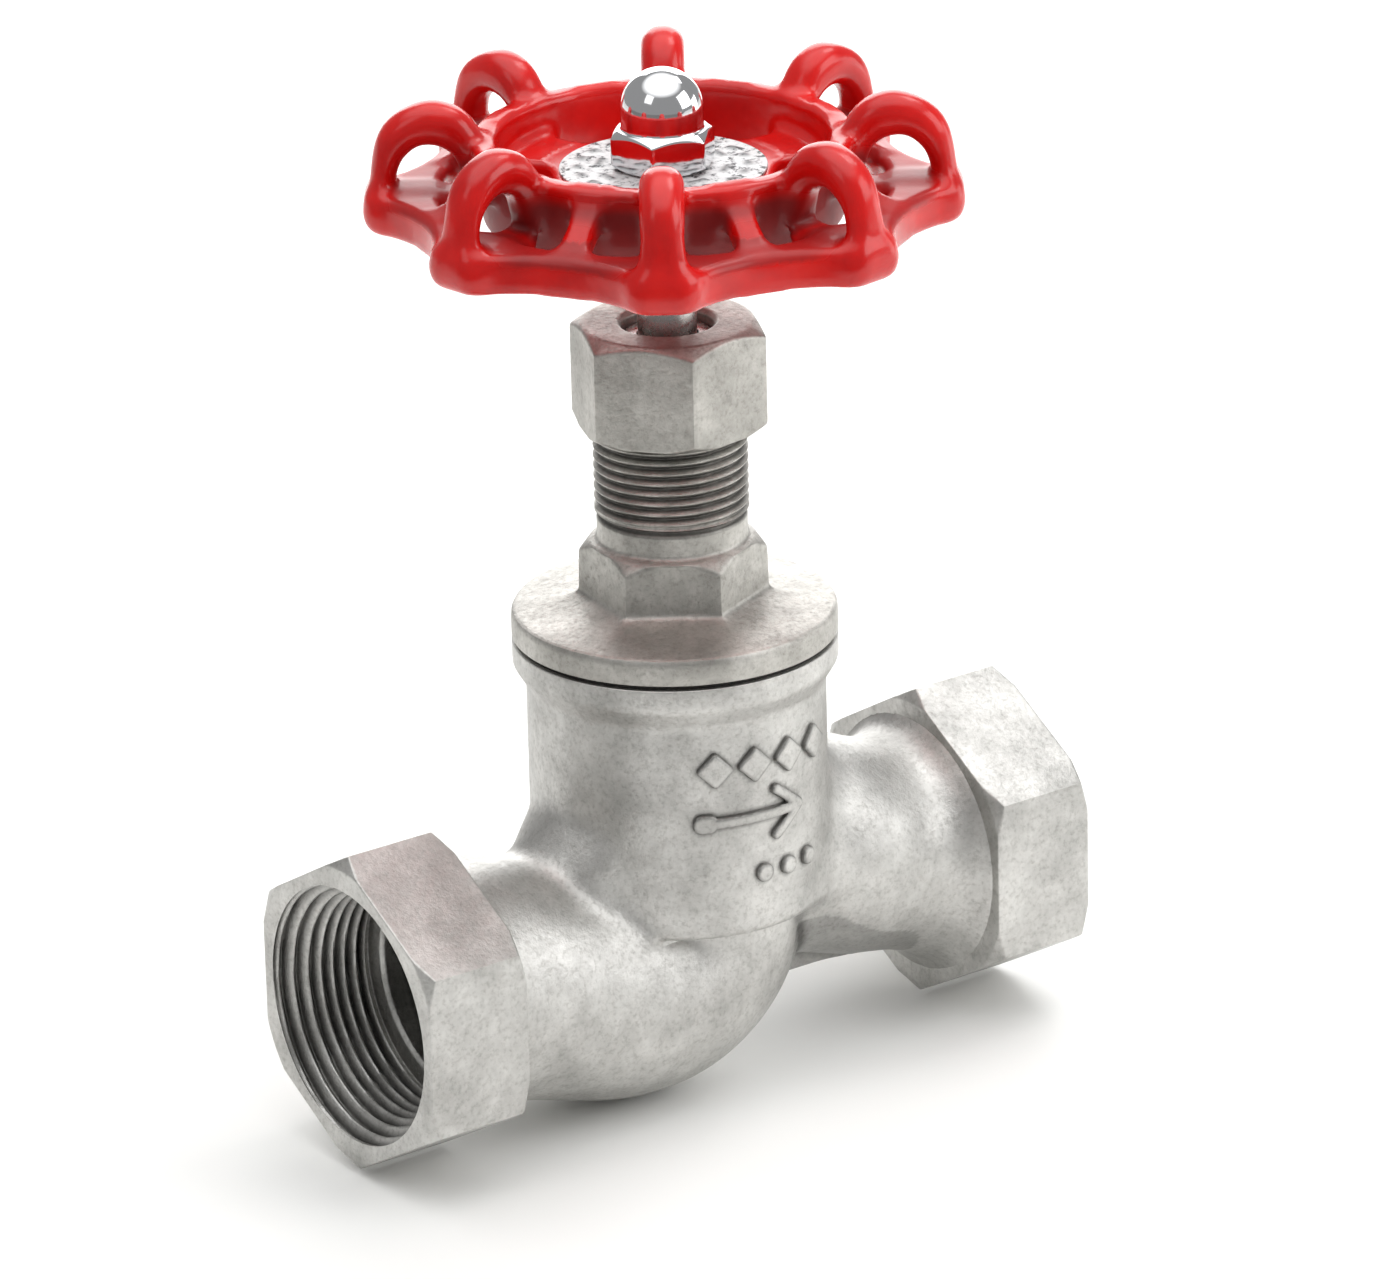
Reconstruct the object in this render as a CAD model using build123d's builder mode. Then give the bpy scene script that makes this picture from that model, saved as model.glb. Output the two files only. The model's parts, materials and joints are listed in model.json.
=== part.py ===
from build123d import *
import os
from math import cos, radians, sin, sqrt, tan

# Screw-down stop (globe) valve with internally threaded hexagon ends, millimetres.
# The origin is the middle of the inlet port's mouth, +X runs along the pipe axis to the
# outlet, and +Z points up the stem, which stands half way along the body.

# ---------------------------------------------------------------- driving dimensions
# Body
face_to_face = 140.0
port_flats = 50.0             # across flats of each hexagon end
port_length = 20.0
port_chamfer_r = 26.5         # circle left on a hexagon's end face
chamfer_angle = 30.0
thread_minor_r = 19.476       # G 1 1/4 internal thread
thread_length = 16.5
mouth_r = 21.9                # countersink at the mouth
mouth_depth = 1.4
relief_r = 21.2
relief_width = 2.5
ring_bore_r = 17.5            # smooth bore behind the thread

neck_r = 21.7                 # inlet neck, outside
bowl_r = 21.5                 # bowl under the barrel, outside
bowl_bend_r = 12.0            # bend of the bowl's centre line
bowl_drop = 7.5               # how far the bowl's centre line lies below the pipe axis
riser_bore_r = 15.5           # bore through the seat
bowl_wall = 5.5
outlet_r = 20.5               # outlet neck, outside
outlet_bore_r = 16.0
outlet_rise = 8.0             # height of the outlet neck's centre where it leaves the barrel
outlet_shoulder_gap = 5.0     # from the barrel's wall to the outlet neck's last level station
shoulder_share = 0.75         # share of the rise that is left at the shoulder
outlet_taper = 0.5            # how much slimmer the outlet neck and bore are at their far ends
overlap = 1.0                 # how far joined solids run into each other

inlet_bore_mid_r = 16.5       # inlet passage half way to the bowl
inlet_bore_end_r = 15.4       # inlet passage where it ducks under the chamber floor
inlet_duck = 1.2              # how far its centre still lies above the bowl's there
outlet_bore_lift = 2.0        # the outlet bore starts this much higher than the neck round it
seat_height = 14.0            # seat face above the pipe axis
seat_land = 3.0
seat_groove = 1.5             # depth of the chamber floor below the seat
barrel_r = 25.7
barrel_bottom = 5.4
barrel_bottom_round = 3.0
collar_r = 27.95
collar_height = 3.6
collar_flare = 3.7
barrel_top = 52.3
chamber_r = 22.3
web_thickness = 3.5
web_bottom = -16.0
web_start = 8.0               # from the stem axis
web_slant = 4.0               # half of the web's slanted side, along the pipe

# Bonnet
gasket_thickness = 0.8
gasket_r = 26.9
spigot_length = 11.0
thread_clearance = 0.05       # between mating threads, drawn as plain cylinders
flange_thickness = 4.7
flange_round = 1.2
flange_cone = 1.9             # rise of the flange's conical top
bonnet_flats = 28.0
bonnet_hex_height = 10.2
bonnet_chamfer_r = 14.4
bonnet_neck_r = 13.2
bonnet_neck_height = 30.1
bonnet_turn = -36.2           # angle of a hexagon corner about the stem

# Packing and gland
box_r = 9.0                   # packing box in the bonnet
box_floor_above_hex = 2.2
washer_thickness = 1.5
packing_count = 5
packing_height = 3.5
sliding_clearance = 0.1
follower_collar_r = 12.4
follower_collar = 2.0
follower_gap = 1.5            # between the bonnet's end and the follower's collar
follower_lip = 3.0            # lip that stands in the gland nut's hole
gland_flats = 30.0
gland_height = 18.6
gland_roof = 5.2
gland_hole_r = 7.8
gland_chamfer_r = 14.3
gland_turn = -231.4

# Stem
stem_r = 5.0
thread_rise = 1.0             # lifting thread's radius over the stem's
neck_rise = 0.4               # radius of the neck below the thread over the stem's
stem_foot_r = 7.6
stem_foot_height = 4.0
stem_thread_length = 22.0
stem_travel = 10.0
travel_spare = 1.0            # thread left inside the bonnet when the valve is open
running_clearance = 0.05
square_flats = 8.0
cap_thread_r = 4.0
cap_thread_lead = 0.5         # the square ends this far below the hub's top
cap_thread_chamfer = 0.8

# Disc
disc_r = 18.2
seal_outer_r = 17.4
seal_inner_r = 12.0
seal_thickness = 2.5
disc_plate = 6.0
seal_stand = 0.4              # how far the seal stands out below the disc's plate
disc_boss_r = 12.0
foot_play = 0.05
disc_nut_r = 9.8
disc_nut_flats = 20.0
disc_nut_depth = 4.0
disc_nut_head = 3.5
washer_r = 13.6
seal_washer_thickness = 1.5
screw_r = 3.0
screw_head_flats = 10.0
screw_head_height = 4.0
screw_length = 3.0
screw_gap = 0.2               # between the screw's end and the bottom of its hole

# Handwheel
wheel_clearance = 13.3        # gland nut to hub with the valve shut
hub_r = 11.0
hub_height = 13.5
plate_r = 19.0
plate_thickness = 4.0
lobe_count = 8
lobe_turn = -126.1
wheel_r = 50.5
rim_r = 43.0                  # outside of the lower rim, half way between lobes
rim_inner_r = 37.5
rim_height = 7.0
rim_post_step = 3.0           # the posts meet the rim this far below its top
rim_above_hub_bottom = 4.3
lobe_width = 7.8
lobe_top = 26.3               # top of the lobes above the hub's bottom
lobe_base_step = 0.4          # the lobes end this far above the rim's bottom
lobe_root = 0.38              # share of the lobe's depth that stands on the rim
window_round = 1.4
ring_outer_r = 31.2
ring_inner_r = 28.2
ring_top = 19.8               # top of the inner ring above the hub's bottom
ring_bottom = 5.0             # bottom of the inner ring above the hub's bottom
post_width = 5.3
post_depth = 7.0              # height of a post where it leaves the inner ring
ring_sink = 1.5               # how far the posts start inside the inner ring
spoke_count = 3
spoke_width = 14.0
spoke_overlap = 3.0
nameplate_r = 17.5
nameplate_thickness = 0.9

# Cap nut
cap_flats = 16.0
cap_hex_height = 6.5
cap_chamfer_r = 7.4
dome_r = 7.0
dome_straight = 3.2
cap_turn = -17.0
cap_thread_depth = 11.0
cap_end_gap = 1.0             # between the stem's end and the bottom of the nut's hole

# ---------------------------------------------------------------- places worked out from them
stem_x = face_to_face / 2
bend_x = stem_x - bowl_bend_r
bend_height = bowl_bend_r - bowl_drop
passage_r = bowl_r - bowl_wall   # bore of the bowl
chamber_floor = seat_height - seat_groove

flange_bottom = barrel_top + gasket_thickness
flange_top = flange_bottom + flange_thickness
hex_bottom = flange_top + flange_cone
hex_top = hex_bottom + bonnet_hex_height
neck_top = hex_top + bonnet_neck_height
spigot_bottom = flange_bottom - spigot_length
spigot_r = chamber_r - thread_clearance
box_floor = hex_top + box_floor_above_hex
packing_bottom = box_floor + washer_thickness
packing_top = packing_bottom + packing_count * packing_height
collar_bottom = neck_top + follower_gap
collar_top = collar_bottom + follower_collar
gland_top = collar_top + gland_roof
gland_bottom = gland_top - gland_height

stem_thread_r = stem_r + thread_rise
stem_neck_r = stem_r + neck_rise
foot_bottom = seat_height + disc_plate + foot_play
foot_top = foot_bottom + stem_foot_height
disc_nut_bottom = foot_top + foot_play
boss_top = disc_nut_bottom + disc_nut_depth
disc_nut_top = boss_top + disc_nut_head
stem_thread_top = box_floor - stem_travel - travel_spare
stem_thread_bottom = stem_thread_top - stem_thread_length

hub_bottom = gland_top + wheel_clearance
hub_top = hub_bottom + hub_height
rim_bottom = hub_bottom + rim_above_hub_bottom
rim_top = rim_bottom + rim_height
plate_bottom = hub_top - plate_thickness
nameplate_top = hub_top + nameplate_thickness
cap_hex_top = nameplate_top + cap_hex_height
dome_centre = cap_hex_top + dome_straight
stem_top = nameplate_top + cap_thread_depth - cap_end_gap

# ---------------------------------------------------------------- planes and shared shapes
stem_axis = Axis((stem_x, 0, 0), (0, 0, 1))
stem_section = Plane(origin=(stem_x, 0, 0), x_dir=(1, 0, 0), z_dir=(0, -1, 0))
port_planes = (
    Plane(origin=(0, 0, 0), x_dir=(0, 1, 0), z_dir=(1, 0, 0)),
    Plane(origin=(face_to_face, 0, 0), x_dir=(0, 1, 0), z_dir=(-1, 0, 0)),
)


def stem_plane(height):
    """A level plane with its origin on the stem axis."""
    return Plane(origin=(stem_x, 0, height), x_dir=(1, 0, 0), z_dir=(0, 0, 1))


def pipe_plane(station, height):
    """A plane across the pipe, centred at this height."""
    return Plane(origin=(station, 0, height), x_dir=(0, 1, 0), z_dir=(1, 0, 0))


def radial_plane(angle):
    """The upright plane through the stem axis whose local x points outwards at this angle."""
    turn = radians(angle)
    return Plane(origin=(stem_x, 0, 0), x_dir=(cos(turn), sin(turn), 0), z_dir=(sin(turn), -cos(turn), 0))


def turn(points, mode=Mode.ADD):
    """Revolve a closed outline of (radius, height) points about the stem axis."""
    with BuildSketch(stem_section) as outline:
        with BuildLine():
            Polyline(*points, close=True)
        make_face()
    revolve(outline.sketch, axis=stem_axis, mode=mode)


def ring(inner, outer, bottom, top, mode=Mode.ADD):
    """A plain ring about the stem axis."""
    turn([(inner, bottom), (outer, bottom), (outer, top), (inner, top)], mode)


def disc(radius, bottom, top, mode=Mode.ADD):
    """A plain cylinder on the stem axis."""
    ring(0, radius, bottom, top, mode)


def hexagon(flats, bottom, top, angle, mode=Mode.ADD):
    """A hexagonal prism on the stem axis with a corner at this angle."""
    with BuildSketch(stem_plane(bottom)) as outline:
        RegularPolygon(flats / 2, 6, major_radius=False, rotation=angle)
    extrude(outline.sketch, amount=top - bottom, mode=mode)


def corner_radius(flats):
    """Radius of a hexagon's corners."""
    return flats / 2 / cos(radians(30))


def chamfer_drop(flats, circle_r):
    """Depth along the axis of the turned chamfer that leaves a circle of this radius."""
    return (corner_radius(flats) - circle_r) * tan(radians(chamfer_angle))


def pipe_loft(stations, mode=Mode.ADD):
    """Loft through circles across the pipe, each given as (station, centre height, radius)."""
    sections = []
    for station, height, radius in stations:
        with BuildSketch(pipe_plane(station, height)) as section:
            Circle(radius)
        sections.append(section.sketch.face())
    loft(sections, mode=mode)


def bowl_turn(radius, mode=Mode.ADD):
    """The quarter bend of the bowl: a circle, cut off at the bend's axis, turned through 90 degrees."""
    with BuildSketch(pipe_plane(bend_x, bend_height)) as section:
        with Locations((0, -bowl_bend_r)):
            Circle(radius)
        with Locations((0, radius)):
            Rectangle(4 * radius, 2 * radius, mode=Mode.SUBTRACT)
    bend_axis = Axis((bend_x, 0, bend_height), (0, -1, 0))
    revolve(section.sketch, axis=bend_axis, revolution_arc=90, mode=mode)


# ---------------------------------------------------------------- valve body
with BuildPart() as port_hexagon:
    with BuildSketch(port_planes[0]):
        RegularPolygon(port_flats / 2, 6, major_radius=False, rotation=30)
    extrude(amount=port_length)
    drop = chamfer_drop(port_flats, port_chamfer_r)
    corner = corner_radius(port_flats)
    with BuildSketch(Plane.XZ):
        with BuildLine():
            Polyline(
                (0, 0),
                (0, port_chamfer_r),
                (drop, corner),
                (port_length - drop, corner),
                (port_length, port_chamfer_r),
                (port_length, 0),
                close=True,
            )
        make_face()
    revolve(axis=Axis.X, mode=Mode.INTERSECT)

inlet_middle = (port_length + bend_x) / 2
outlet_start = stem_x + riser_bore_r + seat_land
outlet_shoulder = stem_x + barrel_r + outlet_shoulder_gap
shoulder_height = outlet_rise * shoulder_share
duck_start = stem_x - chamber_r + 2 * overlap
outlet_end = face_to_face - port_length

with BuildPart() as valve_body:
    add(port_hexagon.part)
    mirror(port_hexagon.part, about=Plane.YZ.offset(stem_x))
    pipe_loft([
        (port_length - overlap, 0, neck_r),
        (inlet_middle, -bowl_drop / 6, neck_r),
        (bend_x, -bowl_drop, bowl_r),
    ])
    bowl_turn(bowl_r)
    disc(bowl_r, bend_height, barrel_bottom + barrel_bottom_round)
    pipe_loft([
        (stem_x + 5 * overlap, outlet_rise, outlet_r),
        (outlet_shoulder, shoulder_height, outlet_r),
        (outlet_end + overlap, 0, outlet_r - outlet_taper),
    ])
    with BuildSketch(stem_section) as barrel_outline:
        with BuildLine():
            Polyline(
                (0, barrel_bottom),
                (barrel_r, barrel_bottom),
                (barrel_r, barrel_top - collar_height - collar_flare),
                (collar_r, barrel_top - collar_height),
                (collar_r, barrel_top),
                (0, barrel_top),
                close=True,
            )
        make_face()
        lower_corner = barrel_outline.vertices().sort_by_distance((barrel_r, barrel_bottom))[0]
        fillet(lower_corner, radius=barrel_bottom_round)
    revolve(axis=stem_axis)
    with BuildSketch(Plane.XZ):
        with BuildLine():
            Polyline(
                (stem_x + web_start, web_bottom),
                (outlet_shoulder + web_slant, web_bottom),
                (outlet_shoulder + 2 * web_slant, 0),
                (stem_x + web_start, 0),
                close=True,
            )
        make_face()
    extrude(amount=web_thickness / 2, both=True)

    # passages, seat and chamber
    pipe_loft([
        (port_length - 2 * overlap, 0, ring_bore_r),
        (inlet_middle - 3 * overlap, -bowl_drop / 5, inlet_bore_mid_r),
        (duck_start, -bowl_drop + inlet_duck, inlet_bore_end_r),
        (bend_x, -bowl_drop, passage_r),
    ], mode=Mode.SUBTRACT)
    bowl_turn(passage_r, mode=Mode.SUBTRACT)
    disc(riser_bore_r, bend_height - overlap, barrel_top, mode=Mode.SUBTRACT)
    ring(0, chamber_r, seat_height, barrel_top, mode=Mode.SUBTRACT)
    ring(riser_bore_r + seat_land, chamber_r, chamber_floor, seat_height, mode=Mode.SUBTRACT)
    pipe_loft([
        (outlet_start, outlet_rise + outlet_bore_lift, outlet_bore_r - outlet_taper),
        (outlet_shoulder, shoulder_height, outlet_bore_r),
        (outlet_end + 2 * overlap, 0, ring_bore_r),
    ], mode=Mode.SUBTRACT)

    # threaded ports, drawn at the thread's inner diameter
    for port_plane in port_planes:
        section_plane = Plane(origin=port_plane.origin, x_dir=port_plane.z_dir, z_dir=(0, -1, 0))
        groove_end = thread_length + relief_width
        with BuildSketch(section_plane):
            with BuildLine():
                Polyline(
                    (0, 0),
                    (0, mouth_r),
                    (mouth_depth, thread_minor_r),
                    (thread_length, thread_minor_r),
                    (thread_length, relief_r),
                    (groove_end, relief_r),
                    (groove_end, ring_bore_r),
                    (port_length, ring_bore_r),
                    (port_length, 0),
                    close=True,
                )
            make_face()
        revolve(axis=Axis.X, mode=Mode.SUBTRACT)

# ---------------------------------------------------------------- bonnet and its gasket
with BuildPart() as bonnet_gasket:
    ring(chamber_r, gasket_r, barrel_top, flange_bottom)

with BuildPart() as bonnet:
    hex_corner = corner_radius(bonnet_flats)
    hex_chamfer = chamfer_drop(bonnet_flats, bonnet_chamfer_r)
    hexagon(bonnet_flats, flange_top, hex_top, bonnet_turn)
    turn([
        (0, flange_top),
        (hex_corner, flange_top),
        (hex_corner, hex_top - hex_chamfer),
        (bonnet_chamfer_r, hex_top),
        (0, hex_top),
    ], mode=Mode.INTERSECT)
    with BuildSketch(stem_section) as flange_outline:
        with BuildLine():
            Polyline(
                (0, flange_bottom),
                (collar_r, flange_bottom),
                (collar_r, flange_top),
                (hex_corner, hex_bottom),
                (0, hex_bottom),
                close=True,
            )
        make_face()
        rim_corner = flange_outline.vertices().sort_by_distance((collar_r, flange_top))[0]
        fillet(rim_corner, radius=flange_round)
    revolve(axis=stem_axis)
    disc(spigot_r, spigot_bottom, flange_bottom)
    disc(bonnet_neck_r, hex_top, neck_top)
    disc(stem_thread_r + thread_clearance, spigot_bottom, box_floor, mode=Mode.SUBTRACT)
    disc(box_r, box_floor, neck_top, mode=Mode.SUBTRACT)

# ---------------------------------------------------------------- packing and gland
with BuildPart() as packing_washer:
    ring(stem_r + sliding_clearance, box_r - sliding_clearance, box_floor, packing_bottom)

packing_rings = []
for index in range(packing_count):
    packing_low = packing_bottom + index * packing_height
    with BuildPart() as packing_ring:
        ring(stem_r + running_clearance, box_r, packing_low, packing_low + packing_height)
    packing_rings.append(packing_ring)

with BuildPart() as gland_follower:
    follower_bore_r = stem_r + sliding_clearance
    follower_r = box_r - sliding_clearance
    lip_r = gland_hole_r - sliding_clearance
    turn([
        (follower_bore_r, packing_top),
        (follower_r, packing_top),
        (follower_r, collar_bottom),
        (follower_collar_r, collar_bottom),
        (follower_collar_r, collar_top),
        (lip_r, collar_top),
        (lip_r, collar_top + follower_lip),
        (follower_bore_r, collar_top + follower_lip),
    ])

with BuildPart() as gland_nut:
    gland_corner = corner_radius(gland_flats)
    gland_chamfer = chamfer_drop(gland_flats, gland_chamfer_r)
    hexagon(gland_flats, gland_bottom, gland_top, gland_turn)
    turn([
        (0, gland_bottom),
        (gland_chamfer_r + overlap, gland_bottom),
        (gland_corner, gland_bottom + gland_chamfer / 2),
        (gland_corner, gland_top - gland_chamfer),
        (gland_chamfer_r, gland_top),
        (0, gland_top),
    ], mode=Mode.INTERSECT)
    disc(bonnet_neck_r + thread_clearance, gland_bottom, collar_top, mode=Mode.SUBTRACT)
    disc(gland_hole_r, collar_top, gland_top, mode=Mode.SUBTRACT)

# ---------------------------------------------------------------- stem
with BuildPart() as stem:
    turn([
        (0, foot_bottom),
        (stem_foot_r, foot_bottom),
        (stem_foot_r, foot_top),
        (stem_neck_r, foot_top),
        (stem_neck_r, stem_thread_bottom),
        (stem_thread_r, stem_thread_bottom + stem_thread_r - stem_neck_r),
        (stem_thread_r, stem_thread_top),
        (stem_r, stem_thread_top),
        (stem_r, hub_top - cap_thread_lead),
        (cap_thread_r, hub_top - cap_thread_lead),
        (cap_thread_r, stem_top - cap_thread_chamfer),
        (cap_thread_r - cap_thread_chamfer, stem_top),
        (0, stem_top),
    ])
    with BuildSketch(stem_plane(hub_bottom)):
        Circle(stem_r + overlap)
        Rectangle(square_flats, square_flats, mode=Mode.SUBTRACT)
    extrude(amount=hub_height, mode=Mode.SUBTRACT)

# ---------------------------------------------------------------- disc and its seal
seal_top = seat_height + seal_thickness
washer_bottom = seat_height - seal_washer_thickness
head_bottom = washer_bottom - screw_head_height

with BuildPart() as disc_holder:
    turn([
        (0, seal_top),
        (seal_outer_r, seal_top),
        (seal_outer_r, seat_height + seal_stand),
        (disc_r, seat_height + seal_stand),
        (disc_r, seat_height + disc_plate),
        (disc_boss_r, seat_height + disc_plate),
        (disc_boss_r, boss_top),
        (0, boss_top),
    ])
    disc(seal_inner_r, seat_height, seal_top)
    disc(screw_r + thread_clearance, seat_height, seat_height + screw_length, mode=Mode.SUBTRACT)
    disc(stem_foot_r + running_clearance, seat_height + disc_plate, boss_top, mode=Mode.SUBTRACT)
    ring(0, disc_nut_r + thread_clearance, disc_nut_bottom, boss_top, mode=Mode.SUBTRACT)

with BuildPart() as disc_seal:
    ring(seal_inner_r, seal_outer_r, seat_height, seal_top)

with BuildPart() as seal_washer:
    ring(screw_r + sliding_clearance, washer_r, washer_bottom, seat_height)

with BuildPart() as seal_screw:
    hexagon(screw_head_flats, head_bottom, washer_bottom, 0)
    disc(screw_r, washer_bottom, seat_height + screw_length - screw_gap)

with BuildPart() as disc_nut:
    disc(disc_nut_r, disc_nut_bottom, boss_top)
    hexagon(disc_nut_flats, boss_top, disc_nut_top, 0)
    disc(stem_thread_r + sliding_clearance, disc_nut_bottom, disc_nut_top, mode=Mode.SUBTRACT)

# ---------------------------------------------------------------- handwheel
lobe_step = 360 / lobe_count
half_lobe = lobe_width / 2
tip_r = sqrt(wheel_r**2 - half_lobe**2)
lobe_base = rim_bottom + lobe_base_step
lobe_peak = hub_bottom + lobe_top
lobe_foot = ring_inner_r + overlap
lobe_depth = tip_r - lobe_foot
lobe_height = lobe_peak - rim_top


def lobe_point(inwards, upwards):
    """A point of the lobe's outline, as shares of its depth from the tip and its height over the rim."""
    return (tip_r - inwards * lobe_depth, rim_top + upwards * lobe_height)



def around(radius, across, angle):
    """Plan position at this radius and this far across, turned by the angle."""
    turned = radians(angle)
    return (radius * cos(turned) - across * sin(turned), radius * sin(turned) + across * cos(turned))


with BuildPart() as handwheel:
    # lower rim: straight tips at the lobes, hollow arcs between them
    with BuildSketch(stem_plane(rim_bottom)):
        with BuildLine():
            for index in range(lobe_count):
                angle = lobe_turn + index * lobe_step
                Line(around(tip_r, -half_lobe, angle), around(tip_r, half_lobe, angle))
                ThreePointArc(
                    around(tip_r, half_lobe, angle),
                    around(rim_r, 0, angle + lobe_step / 2),
                    around(tip_r, -half_lobe, angle + lobe_step),
                )
        make_face()
        Circle(rim_inner_r, mode=Mode.SUBTRACT)
    extrude(amount=rim_height)
    # inner ring, hub plate and hub
    ring(ring_inner_r, ring_outer_r, hub_bottom + ring_bottom, hub_bottom + ring_top)
    disc(plate_r, plate_bottom, hub_top)
    disc(hub_r, hub_bottom, plate_bottom)
    for index in range(spoke_count):
        angle = lobe_turn + index * 360 / spoke_count
        spoke_plane = Plane(
            origin=(stem_x, 0, plate_bottom),
            x_dir=(cos(radians(angle)), sin(radians(angle)), 0),
            z_dir=(0, 0, 1),
        )
        with BuildSketch(spoke_plane):
            with Locations(((plate_r + ring_inner_r) / 2, 0)):
                Rectangle(ring_inner_r - plate_r + 2 * spoke_overlap, spoke_width)
        extrude(amount=plate_thickness)
    # lobes: loops that stand on the rim's tips and come down on the inner ring
    for index in range(lobe_count):
        with BuildSketch(radial_plane(lobe_turn + index * lobe_step)):
            with BuildLine():
                Line((tip_r - lobe_root * lobe_depth, lobe_base), (tip_r, lobe_base))
                Line((tip_r, lobe_base), lobe_point(0.03, 0.09))
                ThreePointArc(lobe_point(0.03, 0.09), lobe_point(0.19, 0.69), lobe_point(0.54, 1))
                ThreePointArc(lobe_point(0.54, 1), lobe_point(0.82, 0.84), lobe_point(1, 0.4))
                Line(lobe_point(1, 0.4), lobe_point(1, 0.2))
                Line(lobe_point(1, 0.2), (tip_r - lobe_root * lobe_depth, lobe_base))
            make_face()
            with BuildLine():
                FilletPolyline(
                    lobe_point(0.265, 0),
                    lobe_point(0.29, 0.27),
                    lobe_point(0.47, 0.49),
                    lobe_point(0.735, 0.45),
                    lobe_point(0.71, 0.2),
                    lobe_point(0.565, 0),
                    radius=window_round,
                    close=True,
                )
            make_face(mode=Mode.SUBTRACT)
        extrude(amount=half_lobe, both=True)
    # posts from the inner ring down to the rim, between the lobes
    for index in range(lobe_count):
        with BuildSketch(radial_plane(lobe_turn + (index + 0.5) * lobe_step)):
            with BuildLine():
                Polyline(
                    (ring_outer_r - ring_sink, hub_bottom + ring_top),
                    (rim_r - overlap, rim_top),
                    (rim_r - overlap, rim_top - rim_post_step),
                    (rim_inner_r, rim_top - rim_post_step),
                    (ring_outer_r - ring_sink, hub_bottom + ring_top - post_depth),
                    close=True,
                )
            make_face()
        extrude(amount=post_width / 2, both=True)
    with BuildSketch(stem_plane(hub_bottom)):
        Rectangle(square_flats + 2 * sliding_clearance, square_flats + 2 * sliding_clearance)
    extrude(amount=hub_height, mode=Mode.SUBTRACT)

with BuildPart() as nameplate:
    ring(stem_r + sliding_clearance, nameplate_r, hub_top, nameplate_top)

with BuildPart() as cap_nut:
    cap_corner = corner_radius(cap_flats)
    cap_chamfer = chamfer_drop(cap_flats, cap_chamfer_r)
    hexagon(cap_flats, nameplate_top, cap_hex_top, cap_turn)
    turn([
        (0, nameplate_top),
        (cap_corner, nameplate_top),
        (cap_corner, cap_hex_top - cap_chamfer),
        (cap_chamfer_r, cap_hex_top),
        (0, cap_hex_top),
    ], mode=Mode.INTERSECT)
    disc(dome_r, cap_hex_top, dome_centre)
    with BuildSketch(stem_section):
        with BuildLine():
            Line((0, dome_centre), (dome_r, dome_centre))
            RadiusArc((dome_r, dome_centre), (0, dome_centre + dome_r), -dome_r)
            Line((0, dome_centre + dome_r), (0, dome_centre))
        make_face()
    revolve(axis=stem_axis)
    disc(cap_thread_r + thread_clearance, nameplate_top, nameplate_top + cap_thread_depth, mode=Mode.SUBTRACT)

# ---------------------------------------------------------------- labels and files
pieces = {
    "valve_body": valve_body,
    "bonnet_gasket": bonnet_gasket,
    "bonnet": bonnet,
    "packing_washer": packing_washer,
    "gland_follower": gland_follower,
    "gland_nut": gland_nut,
    "stem": stem,
    "disc_holder": disc_holder,
    "disc_seal": disc_seal,
    "seal_washer": seal_washer,
    "seal_screw": seal_screw,
    "disc_nut": disc_nut,
    "handwheel": handwheel,
    "nameplate": nameplate,
    "cap_nut": cap_nut,
}
for index, packing_ring in enumerate(packing_rings):
    pieces[f"packing_ring_{index + 1}"] = packing_ring

os.makedirs("parts", exist_ok=True)
for name, piece in pieces.items():
    piece.part.label = name
    export_step(piece.part, f"parts/{name}.step")
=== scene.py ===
# %% [markdown]
# # A screw-down stop valve with a red handwheel
# The valve stands in one shared frame: millimetres in the CAD, metres here, +X along the
# pipe from inlet to outlet and +Z up the stem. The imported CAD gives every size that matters,
# so the first step is to load it. Nothing in it is moved; the pieces made below take the
# places of the plain CAD solids and ride on the same bodies.

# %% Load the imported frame
import json
from math import cos, pi, radians, sin, tan

import bpy
import numpy as np
from mathutils import Matrix, Vector

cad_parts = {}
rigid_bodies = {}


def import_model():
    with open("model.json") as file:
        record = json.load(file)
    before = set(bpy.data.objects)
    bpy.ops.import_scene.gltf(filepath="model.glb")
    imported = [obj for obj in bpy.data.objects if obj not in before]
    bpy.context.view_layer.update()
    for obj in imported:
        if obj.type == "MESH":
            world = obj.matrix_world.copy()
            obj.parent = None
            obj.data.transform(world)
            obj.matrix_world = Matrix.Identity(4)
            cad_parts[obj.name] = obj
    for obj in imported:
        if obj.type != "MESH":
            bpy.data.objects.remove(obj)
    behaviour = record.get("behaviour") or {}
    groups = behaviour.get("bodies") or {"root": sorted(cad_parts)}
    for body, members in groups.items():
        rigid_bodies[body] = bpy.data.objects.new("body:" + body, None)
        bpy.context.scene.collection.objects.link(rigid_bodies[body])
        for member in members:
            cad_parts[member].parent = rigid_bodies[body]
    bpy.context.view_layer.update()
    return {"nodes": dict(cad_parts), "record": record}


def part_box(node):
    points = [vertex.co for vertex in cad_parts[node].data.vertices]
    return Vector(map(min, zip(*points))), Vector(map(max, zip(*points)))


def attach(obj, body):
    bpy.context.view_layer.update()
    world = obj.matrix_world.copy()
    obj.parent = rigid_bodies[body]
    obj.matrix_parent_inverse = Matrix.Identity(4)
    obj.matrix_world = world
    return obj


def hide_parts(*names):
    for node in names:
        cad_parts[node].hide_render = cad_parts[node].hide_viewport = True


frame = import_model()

MM = 0.001
cad = {}
for node in frame["nodes"]:
    low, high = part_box(node)
    cad[node] = (np.array(low) / MM, np.array(high) / MM)


def heights(node):
    """The lowest and highest z of a CAD node, in millimetres."""
    return float(cad[node][0][2]), float(cad[node][1][2])


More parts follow.
